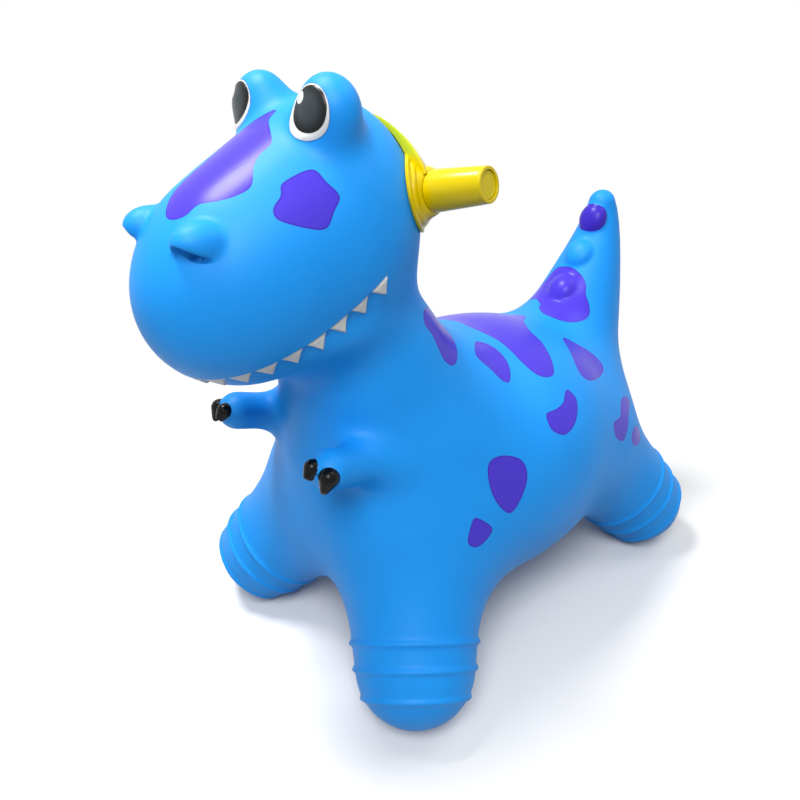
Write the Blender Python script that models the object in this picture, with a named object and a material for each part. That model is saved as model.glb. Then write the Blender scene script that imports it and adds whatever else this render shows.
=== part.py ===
"""Inflatable animal hopper: an air-filled moulded skin shaped as a small dinosaur to sit on.

The skin and the air in it are one solid. A handle of one yoke and two grips sits behind its eyes,
and an air plug closes the valve under its tail.
Metres, +Z up. The animal faces -Y, its left is +X, and the origin is on the floor below its middle.
"""

import math

import bmesh
import bpy
import numpy as np
from mathutils import Matrix, Vector

# The two sides of the animal
SIDES = ((1, "left"), (-1, "right"))

# Clearances between pieces that meet
FIT_GAP = 0.0004
STRAP_GAP = 0.0009

# How far each round foot is cut flat
FOOT_FLAT_DEPTH = 0.001

# Torso, the barrel that the rider sits on
TORSO_WIDTH = 0.299
TORSO_LENGTH = 0.403
TORSO_HEIGHT = 0.269
TORSO_Y = 0.0364
TORSO_Z = 0.164

# Neck, thick at the chest and slim under the head
CHEST_RADIUS = 0.094
CHEST_Y = -0.0786
CHEST_Z = 0.237
THROAT_RADIUS = 0.054
THROAT_Y = -0.1296
THROAT_Z = 0.373
NECK_BLEND = 0.053

# Front legs, splayed outwards
FRONT_HIP_RADIUS = 0.0675
FRONT_HIP_X = 0.0615
FRONT_HIP_Y = -0.0986
FRONT_HIP_Z = 0.127
FRONT_FOOT_RADIUS = 0.054
FRONT_FOOT_X = 0.1147
FRONT_FOOT_Y = -0.1466
FRONT_LEG_BLEND = 0.057

# Hind legs
HIND_HIP_RADIUS = 0.0665
HIND_HIP_X = 0.067
HIND_HIP_Y = 0.1664
HIND_HIP_Z = 0.137
HIND_FOOT_RADIUS = 0.053
HIND_FOOT_X = 0.1145
HIND_FOOT_Y = 0.2344
HIND_LEG_BLEND = 0.050

# Tail, which is the backrest
RUMP_RADIUS = 0.0721
RUMP_Y = 0.2079
RUMP_Z = 0.194
TAIL_BEND_RADIUS = 0.0355
TAIL_BEND_Y = 0.2527
TAIL_BEND_Z = 0.3173
TAIL_TIP_RADIUS = 0.017
TAIL_TIP_Y = 0.264
TAIL_TIP_Z = 0.3864
TAIL_BLEND = 0.0633
TAIL_BEND_BLEND = 0.006

# Studs along the front ridge of the tail, flat domes sunk a little in it
STUD_WIDTH = 0.032
STUD_LENGTH = 0.033
STUD_HEIGHT = 0.019
STUD_SINK = 0.0032
STUD_BLEND = 0.0025
LOWEST_STUD_Z = 0.304
STUD_SPACING = 0.036
STUD_COUNT = 3

# Head
SKULL_WIDTH = 0.1494
SKULL_LENGTH = 0.1348
SKULL_HEIGHT = 0.180
SKULL_Y = -0.1346
SKULL_Z = 0.428
SNOUT_WIDTH = 0.1472
SNOUT_LENGTH = 0.1948
SNOUT_HEIGHT = 0.1586
SNOUT_Y = -0.1976
SNOUT_Z = 0.404
SNOUT_PITCH = math.radians(23.4)
SNOUT_BLEND = 0.047
JAW_WIDTH = 0.1394
JAW_LENGTH = 0.149
JAW_HEIGHT = 0.0782
JAW_Y = -0.1676
JAW_Z = 0.3645
JAW_BLEND = 0.010
HEAD_BLEND = 0.030

# Eye bumps and nose horns
EYE_WIDTH = 0.0494
EYE_LENGTH = 0.0394
EYE_HEIGHT = 0.0498
EYE_X = 0.0395
EYE_Y = -0.1586
EYE_Z = 0.509
EYE_BLEND = 0.017
HORN_WIDTH = 0.030
HORN_LENGTH = 0.043
HORN_HEIGHT = 0.029
HORN_PLACE = (0.0335, -0.2575, 0.438)
HORN_PITCH = math.radians(-8.0)
HORN_BLEND = 0.003
HOOD_EDGE = (0.0416, -0.2688, 0.4343)
HOOD_FACING = (0.287, -0.525, -0.801)
HOOD_BLEND = 0.002

# Arms
SHOULDER = (0.0614, -0.1326, 0.239)
HAND = (0.0675, -0.1935, 0.259)
ARM_RADIUS = 0.0167
ARM_BLEND = 0.023

# Handle: where its grips leave the head, from the skull's middle, and which way they point
HANDLE_SET_BACK = 0.045
HANDLE_RISE = 0.023
GRIP_RISE = math.radians(11.5)
GRIP_SWEEP = math.radians(8.0)

# Yoke: a collar on each side of the head and the strap that joins them over its top
COLLAR_RADIUS = 0.029
COLLAR_RIM = 0.003
COLLAR_NECK = 0.007
COLLAR_DROP = 0.008
STRAP_SET_BACK = 0.003
STRAP_WIDTH = 0.014
STRAP_FOOT_WIDTH = 0.024
STRAP_THICKNESS = 0.0032
STRAP_FOOT_THICKNESS = 0.0115
STRAP_START = math.radians(16.5)

# Grips: tapered tubes, each held by a spigot through its collar into a socket in the head
GRIP_LENGTH = 0.0467
GRIP_BASE_RADIUS = 0.0155
GRIP_END_RADIUS = 0.0128
GRIP_WALL = 0.0028
GRIP_FLOOR = 0.004
GRIP_LIP = 0.001
SPIGOT_RADIUS = 0.009
SOCKET_DEPTH = 0.022
SPIGOT_END_SPACE = 0.001

# Plugs that close the ends of the grips
END_PLUG_RECESS = 0.0018
END_PLUG_THICKNESS = 0.004
END_PLUG_DISH = 0.0008
END_PLUG_RIM = 0.0022

# Air valve under the tail
VALVE_Z = 0.185
VALVE_RECESS = 0.0035
PORT_RADIUS = 0.005
PORT_END_SPACE = 0.002
AIR_PLUG_HEAD_RADIUS = 0.012
AIR_PLUG_HEAD_HEIGHT = 0.004
AIR_PLUG_EDGE = 0.002
AIR_PLUG_CROWN_RADIUS = 0.007
AIR_PLUG_STEM_LENGTH = 0.014
AIR_PLUG_TIP_RADIUS = 0.0035
AIR_PLUG_TIP_LENGTH = 0.003
NAIL_SPACE = 0.0012

# Colours, linear, and roughness of each finish
BLUE_PVC = ((0.028, 0.337, 0.871), 0.45)
YELLOW_PLASTIC = ((0.823, 0.694, 0.004), 0.25)
YELLOW_PLUG_PLASTIC = ((0.571, 0.515, 0.003), 0.35)
WHITE_PLASTIC = ((0.80, 0.80, 0.78), 0.50)

# How finely the pieces are drawn
SKIN_FACES = 5600
COARSE_VOXEL = 0.010
FINE_VOXEL = 0.0055
TURN_STEPS = 28
COLLAR_RINGS = 4
FLARE_RINGS = 7
STRAP_STEPS = 24
STRAP_ROWS = 5
SHARP_ANGLE = math.radians(40.0)
CUTTER_REACH = 0.03

# Searches for the skin's face, along a line or down the field's slope
SEARCH_LENGTH = 0.16
SEARCH_STEPS = 641
SLOPE_STEP = 0.0001
LEAST_STEEPNESS = 0.3


def clear_scene():
    for obj in list(bpy.data.objects):
        bpy.data.objects.remove(obj)


def material(name, colour, roughness):
    """A plain Principled finish, from a linear colour."""
    made = bpy.data.materials.new(name)
    made.use_nodes = True
    shader = made.node_tree.nodes["Principled BSDF"]
    shader.inputs["Base Color"].default_value = (*colour, 1.0)
    shader.inputs["Roughness"].default_value = roughness
    shader.inputs["Metallic"].default_value = 0.0
    made.diffuse_color = (*colour, 1.0)
    return made


def add_object(name, mesh, finish=None):
    obj = bpy.data.objects.new(name, mesh)
    bpy.context.scene.collection.objects.link(obj)
    if finish:
        mesh.materials.clear()
        mesh.materials.append(finish)
    mesh.shade_smooth()
    mesh.set_sharp_from_angle(angle=SHARP_ANGLE)
    return obj


def add_helper(name, mesh):
    """An object that only shapes others, such as a cutter."""
    obj = add_object(name, mesh)
    obj.hide_render = True
    obj.display_type = "WIRE"
    return obj


def mesh_from(name, working):
    bmesh.ops.recalc_face_normals(working, faces=working.faces)
    mesh = bpy.data.meshes.new(name)
    working.to_mesh(mesh)
    working.free()
    return mesh


def boolean(obj, operation, other):
    modifier = obj.modifiers.new(f"{operation.lower()}_{other.name}", "BOOLEAN")
    modifier.operation = operation
    modifier.solver = "EXACT"
    modifier.object = other


def after_modifier(mesh, kind, **settings):
    """The mesh as one modifier leaves it."""
    holder = add_helper("holder", mesh)
    modifier = holder.modifiers.new(kind, kind)
    for setting, value in settings.items():
        setattr(modifier, setting, value)
    graph = bpy.context.evaluated_depsgraph_get()
    result = bpy.data.meshes.new_from_object(holder.evaluated_get(graph))
    bpy.data.objects.remove(holder)
    return result


class Ball:
    """An ellipsoid form of the skin, tipped nose down by pitch."""

    def __init__(self, centre, width, length, height, pitch=0.0):
        self.centre = np.array(centre)
        self.radii = np.array((width, length, height)) / 2
        self.turn = np.array(Matrix.Rotation(pitch, 3, "X"))

    def distance(self, points):
        local = (points - self.centre) @ self.turn
        near = np.linalg.norm(local / self.radii, axis=1)
        slope = np.linalg.norm(local / self.radii**2, axis=1)
        return near * (near - 1) / np.maximum(slope, 1e-9)

    def add_rough(self, working):
        turned = Matrix.Translation(self.centre) @ Matrix(self.turn).to_4x4()
        place = turned @ Matrix.Diagonal((*self.radii, 1.0))
        bmesh.ops.create_icosphere(working, subdivisions=3, radius=1.0, matrix=place)


class Hood:
    """A ball of the skin that is cut flat underneath."""

    def __init__(self, ball, edge, facing, blend):
        self.ball = ball
        self.edge = np.array(edge)
        self.facing = np.array(facing)
        self.blend = blend

    def distance(self, points):
        below = (points - self.edge) @ self.facing
        return -blended(-self.ball.distance(points), -below, self.blend)

    def add_rough(self, working):
        self.ball.add_rough(working)


class Taper:
    """A form of the skin made of two balls of unlike radius and the cone that joins them."""

    ROUGH_BALLS = 7

    def __init__(self, start, start_radius, end, end_radius):
        self.start = np.array(start)
        self.start_radius = start_radius
        self.end = np.array(end)
        self.end_radius = end_radius

    def distance(self, points):
        along = self.end - self.start
        length = np.linalg.norm(along)
        shrink = (self.start_radius - self.end_radius) / length
        slant = math.sqrt(1 - shrink**2)
        local = points - self.start
        height = local @ along / length
        out = np.linalg.norm(local - height[:, None] * along / length, axis=1)
        foot = height * slant - out * shrink
        at_start = np.hypot(out, height) - self.start_radius
        at_end = np.hypot(out, height - length) - self.end_radius
        on_side = out * slant + height * shrink - self.start_radius
        return np.where(foot < 0, at_start, np.where(foot > slant * length, at_end, on_side))

    def add_rough(self, working):
        for share in np.linspace(0, 1, self.ROUGH_BALLS):
            centre = self.start + share * (self.end - self.start)
            radius = self.start_radius + share * (self.end_radius - self.start_radius)
            place = Matrix.Translation(centre)
            bmesh.ops.create_icosphere(working, subdivisions=3, radius=radius, matrix=place)


def blended(first, second, blend):
    """The nearer of two distances, rounded off where they are within blend of each other."""
    close = np.maximum(blend - np.abs(first - second), 0) / blend
    return np.minimum(first, second) - close**2 * blend / 4


def both_sides(place):
    x, y, z = place
    return (x, y, z), (-x, y, z)


TORSO = Ball((0, TORSO_Y, TORSO_Z), TORSO_WIDTH, TORSO_LENGTH, TORSO_HEIGHT)
NECK = Taper((0, CHEST_Y, CHEST_Z), CHEST_RADIUS, (0, THROAT_Y, THROAT_Z), THROAT_RADIUS)
FRONT_LEGS = [
    Taper(hip, FRONT_HIP_RADIUS, foot, FRONT_FOOT_RADIUS)
    for hip, foot in zip(
        both_sides((FRONT_HIP_X, FRONT_HIP_Y, FRONT_HIP_Z)),
        both_sides((FRONT_FOOT_X, FRONT_FOOT_Y, FRONT_FOOT_RADIUS - FOOT_FLAT_DEPTH)),
    )
]
HIND_LEGS = [
    Taper(hip, HIND_HIP_RADIUS, foot, HIND_FOOT_RADIUS)
    for hip, foot in zip(
        both_sides((HIND_HIP_X, HIND_HIP_Y, HIND_HIP_Z)),
        both_sides((HIND_FOOT_X, HIND_FOOT_Y, HIND_FOOT_RADIUS - FOOT_FLAT_DEPTH)),
    )
]
TAIL_BEND = (0, TAIL_BEND_Y, TAIL_BEND_Z)
TAIL_ROOT = Taper((0, RUMP_Y, RUMP_Z), RUMP_RADIUS, TAIL_BEND, TAIL_BEND_RADIUS)
TAIL_END = Taper(TAIL_BEND, TAIL_BEND_RADIUS, (0, TAIL_TIP_Y, TAIL_TIP_Z), TAIL_TIP_RADIUS)
SKULL = Ball((0, SKULL_Y, SKULL_Z), SKULL_WIDTH, SKULL_LENGTH, SKULL_HEIGHT)
SNOUT = Ball((0, SNOUT_Y, SNOUT_Z), SNOUT_WIDTH, SNOUT_LENGTH, SNOUT_HEIGHT, SNOUT_PITCH)
JAW = Ball((0, JAW_Y, JAW_Z), JAW_WIDTH, JAW_LENGTH, JAW_HEIGHT)
MAIN_FORMS = [TORSO, NECK, *FRONT_LEGS, *HIND_LEGS, TAIL_ROOT, TAIL_END, SKULL, SNOUT, JAW]

EYES = [
    Ball(place, EYE_WIDTH, EYE_LENGTH, EYE_HEIGHT)
    for place in both_sides((EYE_X, EYE_Y, EYE_Z))
]
HORNS = [
    Hood(Ball(place, HORN_WIDTH, HORN_LENGTH, HORN_HEIGHT, HORN_PITCH), edge, facing, HOOD_BLEND)
    for place, edge, facing in zip(both_sides(HORN_PLACE), both_sides(HOOD_EDGE), both_sides(HOOD_FACING))
]
ARMS = [
    Taper(shoulder, ARM_RADIUS, hand, ARM_RADIUS)
    for shoulder, hand in zip(both_sides(SHOULDER), both_sides(HAND))
]


def main_distance(points):
    """Distance from the large forms alone, negative inside."""
    field = blended(TORSO.distance(points), NECK.distance(points), NECK_BLEND)
    for leg in FRONT_LEGS:
        field = blended(field, leg.distance(points), FRONT_LEG_BLEND)
    for leg in HIND_LEGS:
        field = blended(field, leg.distance(points), HIND_LEG_BLEND)
    tail = blended(TAIL_ROOT.distance(points), TAIL_END.distance(points), TAIL_BEND_BLEND)
    field = blended(field, tail, TAIL_BLEND)
    head = blended(SKULL.distance(points), SNOUT.distance(points), SNOUT_BLEND)
    head = blended(head, JAW.distance(points), JAW_BLEND)
    return blended(field, head, HEAD_BLEND)


def reach(distance, starts, directions, level=0.0):
    """How far along each direction from each start, which is inside, the distance first passes level."""
    starts = np.atleast_2d(np.array(starts, dtype=float))
    directions = np.broadcast_to(np.array(directions, dtype=float), starts.shape)
    steps = np.linspace(0, SEARCH_LENGTH, SEARCH_STEPS)
    points = starts[:, None] + steps[:, None] * directions[:, None]
    values = distance(points.reshape(-1, 3)).reshape(len(starts), SEARCH_STEPS) - level
    after = np.maximum((values > 0).argmax(axis=1), 1)
    row = np.arange(len(starts))
    before_value = np.minimum(values[row, after - 1], 0)
    after_value = values[row, after]
    share = np.where(values[:, 0] > 0, 0, before_value / (before_value - after_value))
    return steps[after - 1] + share * steps[1]


def slope_at(distance, points):
    """How the distance grows along X, Y and Z at each point."""
    rises = [distance(points + step) - distance(points - step) for step in np.eye(3) * SLOPE_STEP]
    return np.stack(rises, axis=1) / (2 * SLOPE_STEP)


def tail_studs():
    """Domes that lie flat on the front ridge of the tail."""
    heights = LOWEST_STUD_Z + STUD_SPACING * np.arange(STUD_COUNT)
    starts = np.array([(0, TAIL_BEND_Y, height) for height in heights])
    ridge = starts - np.outer(reach(main_distance, starts, (0, -1, 0)), (0, 1, 0))
    made = []
    for place, facing in zip(ridge, slope_at(main_distance, ridge)):
        facing = facing / np.linalg.norm(facing)
        pitch = -math.atan2(facing[2], -facing[1])
        made.append(Ball(place - STUD_SINK * facing, STUD_WIDTH, STUD_HEIGHT, STUD_LENGTH, pitch))
    return made


STUDS = tail_studs()
SMALL_FORMS = [
    *((eye, EYE_BLEND) for eye in EYES),
    *((horn, HORN_BLEND) for horn in HORNS),
    *((arm, ARM_BLEND) for arm in ARMS),
    *((stud, STUD_BLEND) for stud in STUDS),
]


def skin_distance(points):
    """Distance from the outer face of the skin, negative inside."""
    field = main_distance(points)
    for form, blend in SMALL_FORMS:
        field = blended(field, form.distance(points), blend)
    return field


# Where the handle and the valve meet the skin
HANDLE_Y = SKULL_Y + HANDLE_SET_BACK
HANDLE_Z = SKULL_Z + HANDLE_RISE
GRIP_SEAT_X = reach(skin_distance, (0, HANDLE_Y, HANDLE_Z), (1, 0, 0))[0]
VALVE_SEAT_Y = RUMP_Y + reach(skin_distance, (0, RUMP_Y, VALVE_Z), (0, 1, 0))[0]
VALVE_FLOOR_Y = VALVE_SEAT_Y - VALVE_RECESS


def grip_seat(side):
    return Vector((side * GRIP_SEAT_X, HANDLE_Y, HANDLE_Z))


def grip_axis(side):
    """The way that the grip on this side points, out from the head."""
    level = math.cos(GRIP_RISE)
    outwards = side * level * math.cos(GRIP_SWEEP)
    return Vector((outwards, level * math.sin(GRIP_SWEEP), math.sin(GRIP_RISE)))


def grip_turn(side):
    """The rotation that takes local +Z to the grip's axis."""
    return grip_axis(side).to_track_quat("Z", "Y").to_matrix()


def along_axis(origin, turn, radius, angle, height):
    """World point at a radius, angle and height about an axis."""
    local = Vector((radius * math.cos(angle), radius * math.sin(angle), height))
    return Vector(origin) + turn @ local


def foot_heights(side, radii, angle):
    """Heights above the grip's seat at which a collar's foot meets the head, none lower than its drop."""
    seat = grip_seat(side)
    turn = grip_turn(side)
    starts = [along_axis(seat, turn, radius, angle, -COLLAR_DROP) for radius in radii]
    return reach(skin_distance, starts, grip_axis(side), level=FIT_GAP) - COLLAR_DROP


TURN_ANGLES = [2 * math.pi * step / TURN_STEPS for step in range(TURN_STEPS)]
HIGHEST_FOOT = max(foot_heights(1, [GRIP_BASE_RADIUS], angle)[0] for angle in TURN_ANGLES)
COLLAR_TOP = HIGHEST_FOOT + COLLAR_NECK
GRIP_START = COLLAR_TOP + FIT_GAP
GRIP_END = GRIP_START + GRIP_LENGTH


def settle(mesh, distance, rounds=5):
    """Moves each point of the mesh along the field's slope until it lies on the face."""
    points = np.empty(len(mesh.vertices) * 3)
    mesh.vertices.foreach_get("co", points)
    points = points.reshape(-1, 3)
    for _ in range(rounds):
        slope = slope_at(distance, points)
        steepness = np.maximum((slope**2).sum(axis=1), LEAST_STEEPNESS)
        points = points - slope * (distance(points) / steepness)[:, None]
    mesh.vertices.foreach_set("co", points.ravel())
    mesh.update()


def moulded_mesh(distance, forms, faces):
    """A closed mesh of the field's face, started from rough balls and thinned to about this many faces."""
    working = bmesh.new()
    for form in forms:
        form.add_rough(working)
    mesh = mesh_from("rough", working)
    for voxel in (COARSE_VOXEL, FINE_VOXEL):
        mesh = after_modifier(mesh, "REMESH", mode="VOXEL", voxel_size=voxel, adaptivity=0.0)
        settle(mesh, distance)
    mesh = after_modifier(mesh, "TRIANGULATE")
    mesh = after_modifier(mesh, "DECIMATE", ratio=faces / len(mesh.polygons))
    settle(mesh, distance, rounds=2)
    return mesh


def cut_at_floor(mesh):
    """Cuts the round feet flat where they stand."""
    working = bmesh.new()
    working.from_mesh(mesh)
    everything = [*working.verts, *working.edges, *working.faces]
    bmesh.ops.bisect_plane(
        working, geom=everything, plane_co=(0, 0, 0), plane_no=(0, 0, -1), clear_outer=True
    )
    rims = [edge for edge in working.edges if edge.is_boundary]
    bmesh.ops.holes_fill(working, edges=rims, sides=0)
    bmesh.ops.triangulate(working, faces=[face for face in working.faces if len(face.verts) > 3])
    working.to_mesh(mesh)
    working.free()


def turned_mesh(name, profile):
    """A solid turned about local Z from (radius, height) points that run from the axis round to the axis."""
    working = bmesh.new()
    points = [working.verts.new((radius, 0, height)) for radius, height in profile]
    edges = [working.edges.new(pair) for pair in zip(points, points[1:])]
    bmesh.ops.spin(
        working,
        geom=[*points, *edges],
        axis=(0, 0, 1),
        cent=(0, 0, 0),
        angle=2 * math.pi,
        steps=TURN_STEPS,
        use_merge=True,
    )
    bmesh.ops.remove_doubles(working, verts=working.verts, dist=1e-6)
    return mesh_from(name, working)


def closed_rings_mesh(name, rings, joined_ends):
    """A solid through rings of points. It is closed end to end, or capped where the ends aren't joined."""
    working = bmesh.new()
    loops = [[working.verts.new(point) for point in ring] for ring in rings]
    pairs = list(zip(loops, loops[1:]))
    if joined_ends:
        pairs.append((loops[-1], loops[0]))
    else:
        working.faces.new(loops[0])
        working.faces.new(loops[-1])
    for first, second in pairs:
        for index in range(len(first)):
            following = (index + 1) % len(first)
            working.faces.new((first[index], first[following], second[following], second[index]))
    return mesh_from(name, working)


def collar_mesh(side):
    """A flared collar whose foot follows the head, bored for the grip's spigot."""
    seat = grip_seat(side)
    turn = grip_turn(side)
    bore = SPIGOT_RADIUS + FIT_GAP
    foot_radii = np.linspace(bore, COLLAR_RADIUS, COLLAR_RINGS)
    flare_radii = np.linspace(COLLAR_RADIUS, GRIP_BASE_RADIUS, FLARE_RINGS)
    rings = []
    for angle in TURN_ANGLES:
        ring = [
            along_axis(seat, turn, radius, angle, foot)
            for radius, foot in zip(foot_radii, foot_heights(side, foot_radii, angle))
        ]
        for radius, foot in zip(flare_radii, foot_heights(side, flare_radii, angle)):
            share = (COLLAR_RADIUS - radius) / (COLLAR_RADIUS - GRIP_BASE_RADIUS)
            rise = (COLLAR_TOP - foot - COLLAR_RIM) * share**2
            ring.append(along_axis(seat, turn, radius, angle, foot + COLLAR_RIM + rise))
        ring.append(along_axis(seat, turn, bore, angle, COLLAR_TOP))
        rings.append(ring)
    return closed_rings_mesh(f"collar_{side}", rings, joined_ends=True)


def strap_mesh():
    """The band over the top of the head, thin in the middle and thicker and wider at its feet."""
    angles = np.linspace(STRAP_START, math.pi - STRAP_START, STRAP_STEPS)
    rings = []
    for angle in angles:
        out = np.array((math.cos(angle), 0, math.sin(angle)))
        share = (math.cos(angle) / math.cos(STRAP_START)) ** 4
        width = STRAP_WIDTH + share * (STRAP_FOOT_WIDTH - STRAP_WIDTH)
        thickness = STRAP_THICKNESS + share * (STRAP_FOOT_THICKNESS - STRAP_THICKNESS)
        rows = HANDLE_Y + STRAP_SET_BACK + np.linspace(-width / 2, width / 2, STRAP_ROWS)
        starts = np.array([(0, row, HANDLE_Z) for row in rows])
        inner = reach(skin_distance, starts, out, level=STRAP_GAP)
        outer = reach(skin_distance, starts, out, level=STRAP_GAP + thickness)
        under = [Vector(start + length * out) for start, length in zip(starts, inner)]
        over = [Vector(start + length * out) for start, length in zip(starts, outer)]
        rings.append([*under, *reversed(over)])
    return closed_rings_mesh("strap", rings, joined_ends=False)


def grip_profile():
    """A grip's outline from its spigot's end, along the outside, and back down its bore."""
    bore = GRIP_END_RADIUS - GRIP_WALL
    return [
        (0, SPIGOT_END_SPACE - SOCKET_DEPTH),
        (SPIGOT_RADIUS, SPIGOT_END_SPACE - SOCKET_DEPTH),
        (SPIGOT_RADIUS, GRIP_START),
        (GRIP_BASE_RADIUS, GRIP_START),
        (GRIP_END_RADIUS, GRIP_END - GRIP_LIP),
        (GRIP_END_RADIUS - GRIP_LIP, GRIP_END),
        (bore, GRIP_END),
        (bore, GRIP_START + GRIP_FLOOR),
        (0, GRIP_START + GRIP_FLOOR),
    ]


def end_plug_profile():
    """A dished disc that fits in the mouth of a grip's bore."""
    radius = GRIP_END_RADIUS - GRIP_WALL - FIT_GAP
    top = GRIP_END - END_PLUG_RECESS
    return [
        (0, top - END_PLUG_THICKNESS),
        (radius, top - END_PLUG_THICKNESS),
        (radius, top),
        (radius - END_PLUG_RIM, top),
        (radius - END_PLUG_RIM - END_PLUG_DISH, top - END_PLUG_DISH),
        (0, top - END_PLUG_DISH),
    ]


def air_plug_profile():
    """A mushroom stopper, measured from the recess floor that its head seats on."""
    stem = PORT_RADIUS - FIT_GAP
    return [
        (0, -AIR_PLUG_STEM_LENGTH),
        (AIR_PLUG_TIP_RADIUS, -AIR_PLUG_STEM_LENGTH),
        (stem, AIR_PLUG_TIP_LENGTH - AIR_PLUG_STEM_LENGTH),
        (stem, FIT_GAP),
        (AIR_PLUG_HEAD_RADIUS, FIT_GAP),
        (AIR_PLUG_HEAD_RADIUS, FIT_GAP + AIR_PLUG_EDGE),
        (AIR_PLUG_CROWN_RADIUS, FIT_GAP + AIR_PLUG_HEAD_HEIGHT),
        (0, FIT_GAP + AIR_PLUG_HEAD_HEIGHT),
    ]


def cylinder_mesh(name, radius, low, high):
    return turned_mesh(name, [(0, low), (radius, low), (radius, high), (0, high)])


def place_on_grip(obj, side):
    obj.matrix_world = Matrix.Translation(grip_seat(side)) @ grip_turn(side).to_4x4()


def place_on_valve(obj):
    facing_back = Vector((0, 1, 0)).to_track_quat("Z", "X").to_matrix().to_4x4()
    obj.matrix_world = Matrix.Translation((0, VALVE_FLOOR_Y, VALVE_Z)) @ facing_back


def add_cutter(name, radius, depth):
    """A round cutter about local Z, from this depth below its origin to well above it."""
    return add_helper(name, cylinder_mesh(name, radius, -depth, CUTTER_REACH))


def inflated_body(finish):
    """The one-piece moulded body, with sockets for the handle and a valve for the air plug."""
    forms = [*MAIN_FORMS, *(form for form, _ in SMALL_FORMS)]
    mesh = moulded_mesh(skin_distance, forms, SKIN_FACES)
    cut_at_floor(mesh)
    body = add_object("inflated_body", mesh, finish)
    for side, name in SIDES:
        socket = add_cutter(f"socket_{name}", SPIGOT_RADIUS + FIT_GAP, SOCKET_DEPTH)
        place_on_grip(socket, side)
        boolean(body, "DIFFERENCE", socket)
    recess = add_cutter("valve_recess", AIR_PLUG_HEAD_RADIUS + NAIL_SPACE, 0)
    port = add_cutter("valve_port", PORT_RADIUS, AIR_PLUG_STEM_LENGTH + PORT_END_SPACE)
    for cutter in (recess, port):
        place_on_valve(cutter)
        boolean(body, "DIFFERENCE", cutter)
    return body


def handle_yoke(finish):
    """The strap and both collars, moulded in one."""
    yoke = add_object("handle_yoke", strap_mesh(), finish)
    for side, name in SIDES:
        collar = add_helper(f"collar_{name}", collar_mesh(side))
        boolean(yoke, "UNION", collar)
    return yoke


def grips(finish, plug_finish):
    made = []
    for side, name in SIDES:
        grip = add_object(f"grip_{name}", turned_mesh(f"grip_{name}", grip_profile()), finish)
        plug_mesh = turned_mesh(f"grip_end_plug_{name}", end_plug_profile())
        plug = add_object(f"grip_end_plug_{name}", plug_mesh, plug_finish)
        for obj in (grip, plug):
            place_on_grip(obj, side)
            made.append(obj)
    return made


def air_plug(finish):
    plug = add_object("air_plug", turned_mesh("air_plug", air_plug_profile()), finish)
    place_on_valve(plug)
    return plug


def main():
    clear_scene()
    blue = material("blue_moulded_pvc", *BLUE_PVC)
    yellow = material("yellow_moulded_plastic", *YELLOW_PLASTIC)
    yellow_plug = material("yellow_end_plug", *YELLOW_PLUG_PLASTIC)
    white = material("white_soft_plastic", *WHITE_PLASTIC)
    whole = bpy.data.objects.new("animal_hopper", None)
    bpy.context.scene.collection.objects.link(whole)
    pieces = [inflated_body(blue), handle_yoke(yellow), *grips(yellow, yellow_plug), air_plug(white)]
    for piece in pieces:
        piece.parent = whole
    print("grip seat", [round(value, 5) for value in grip_seat(1)])
    print("valve floor", round(VALVE_FLOOR_Y, 5), "valve height", VALVE_Z)


main()
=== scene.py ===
# %% [markdown]
# # An inflatable animal hopper
#
# The hopper is a soft PVC skin, moulded in one piece and blown up with air, in the shape of a small dinosaur.
# A hard yellow handle sits behind its eyes, and a white plug under its tail keeps the air in.
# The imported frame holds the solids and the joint. This lesson adds what the eye sees: the fine shape of the
# skin, its paint, the handle's rounded edges, and the finishes.

# %% Load the frame and keep its box
import math

import bmesh
import bpy
import numpy as np
from mathutils import Matrix, Vector


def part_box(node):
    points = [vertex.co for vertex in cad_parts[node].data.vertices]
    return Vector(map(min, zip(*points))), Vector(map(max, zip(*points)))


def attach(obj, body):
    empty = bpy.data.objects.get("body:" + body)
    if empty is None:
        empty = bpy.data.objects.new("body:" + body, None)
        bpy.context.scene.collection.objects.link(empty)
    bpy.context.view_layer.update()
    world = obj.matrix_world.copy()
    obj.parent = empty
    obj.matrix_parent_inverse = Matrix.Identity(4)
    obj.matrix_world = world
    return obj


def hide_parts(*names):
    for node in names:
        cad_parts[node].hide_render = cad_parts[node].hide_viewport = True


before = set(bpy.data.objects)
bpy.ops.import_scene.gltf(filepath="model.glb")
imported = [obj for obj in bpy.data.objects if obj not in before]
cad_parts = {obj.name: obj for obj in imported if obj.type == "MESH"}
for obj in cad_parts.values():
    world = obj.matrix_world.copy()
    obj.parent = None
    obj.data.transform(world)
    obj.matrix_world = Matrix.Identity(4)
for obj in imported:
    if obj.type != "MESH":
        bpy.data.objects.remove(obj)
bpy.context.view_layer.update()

# %% [markdown]
# ## The camera
#
# The photograph was taken from above the animal's left front, close to it. The camera stands where the fitted
# outline of the body puts it. Place, direction and lens are all that a view needs, so no shift is used.

# %% Camera at the photograph's viewing angle
CAMERA_PLACE = Vector((0.4278, -0.4611, 0.5456))
CAMERA_AZIMUTH = math.radians(46.636)
CAMERA_TILT = math.radians(26.927)
CAMERA_LENS_MM, CAMERA_SENSOR_MM = 30.918, 36.0


def make_camera():
    data = bpy.data.cameras.new("photo_camera")
    data.lens = CAMERA_LENS_MM
    data.sensor_width = CAMERA_SENSOR_MM
    camera = bpy.data.objects.new("photo_camera", data)
    level = math.cos(CAMERA_TILT)
    across, ahead = -math.sin(CAMERA_AZIMUTH) * level, math.cos(CAMERA_AZIMUTH) * level
    forward = Vector((across, ahead, -math.sin(CAMERA_TILT)))
    camera.location = CAMERA_PLACE
    camera.rotation_euler = forward.to_track_quat("-Z", "Y").to_euler()
    bpy.context.scene.collection.objects.link(camera)
    bpy.context.scene.camera = camera
    return camera


print("camera:", make_camera().name)

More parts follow.
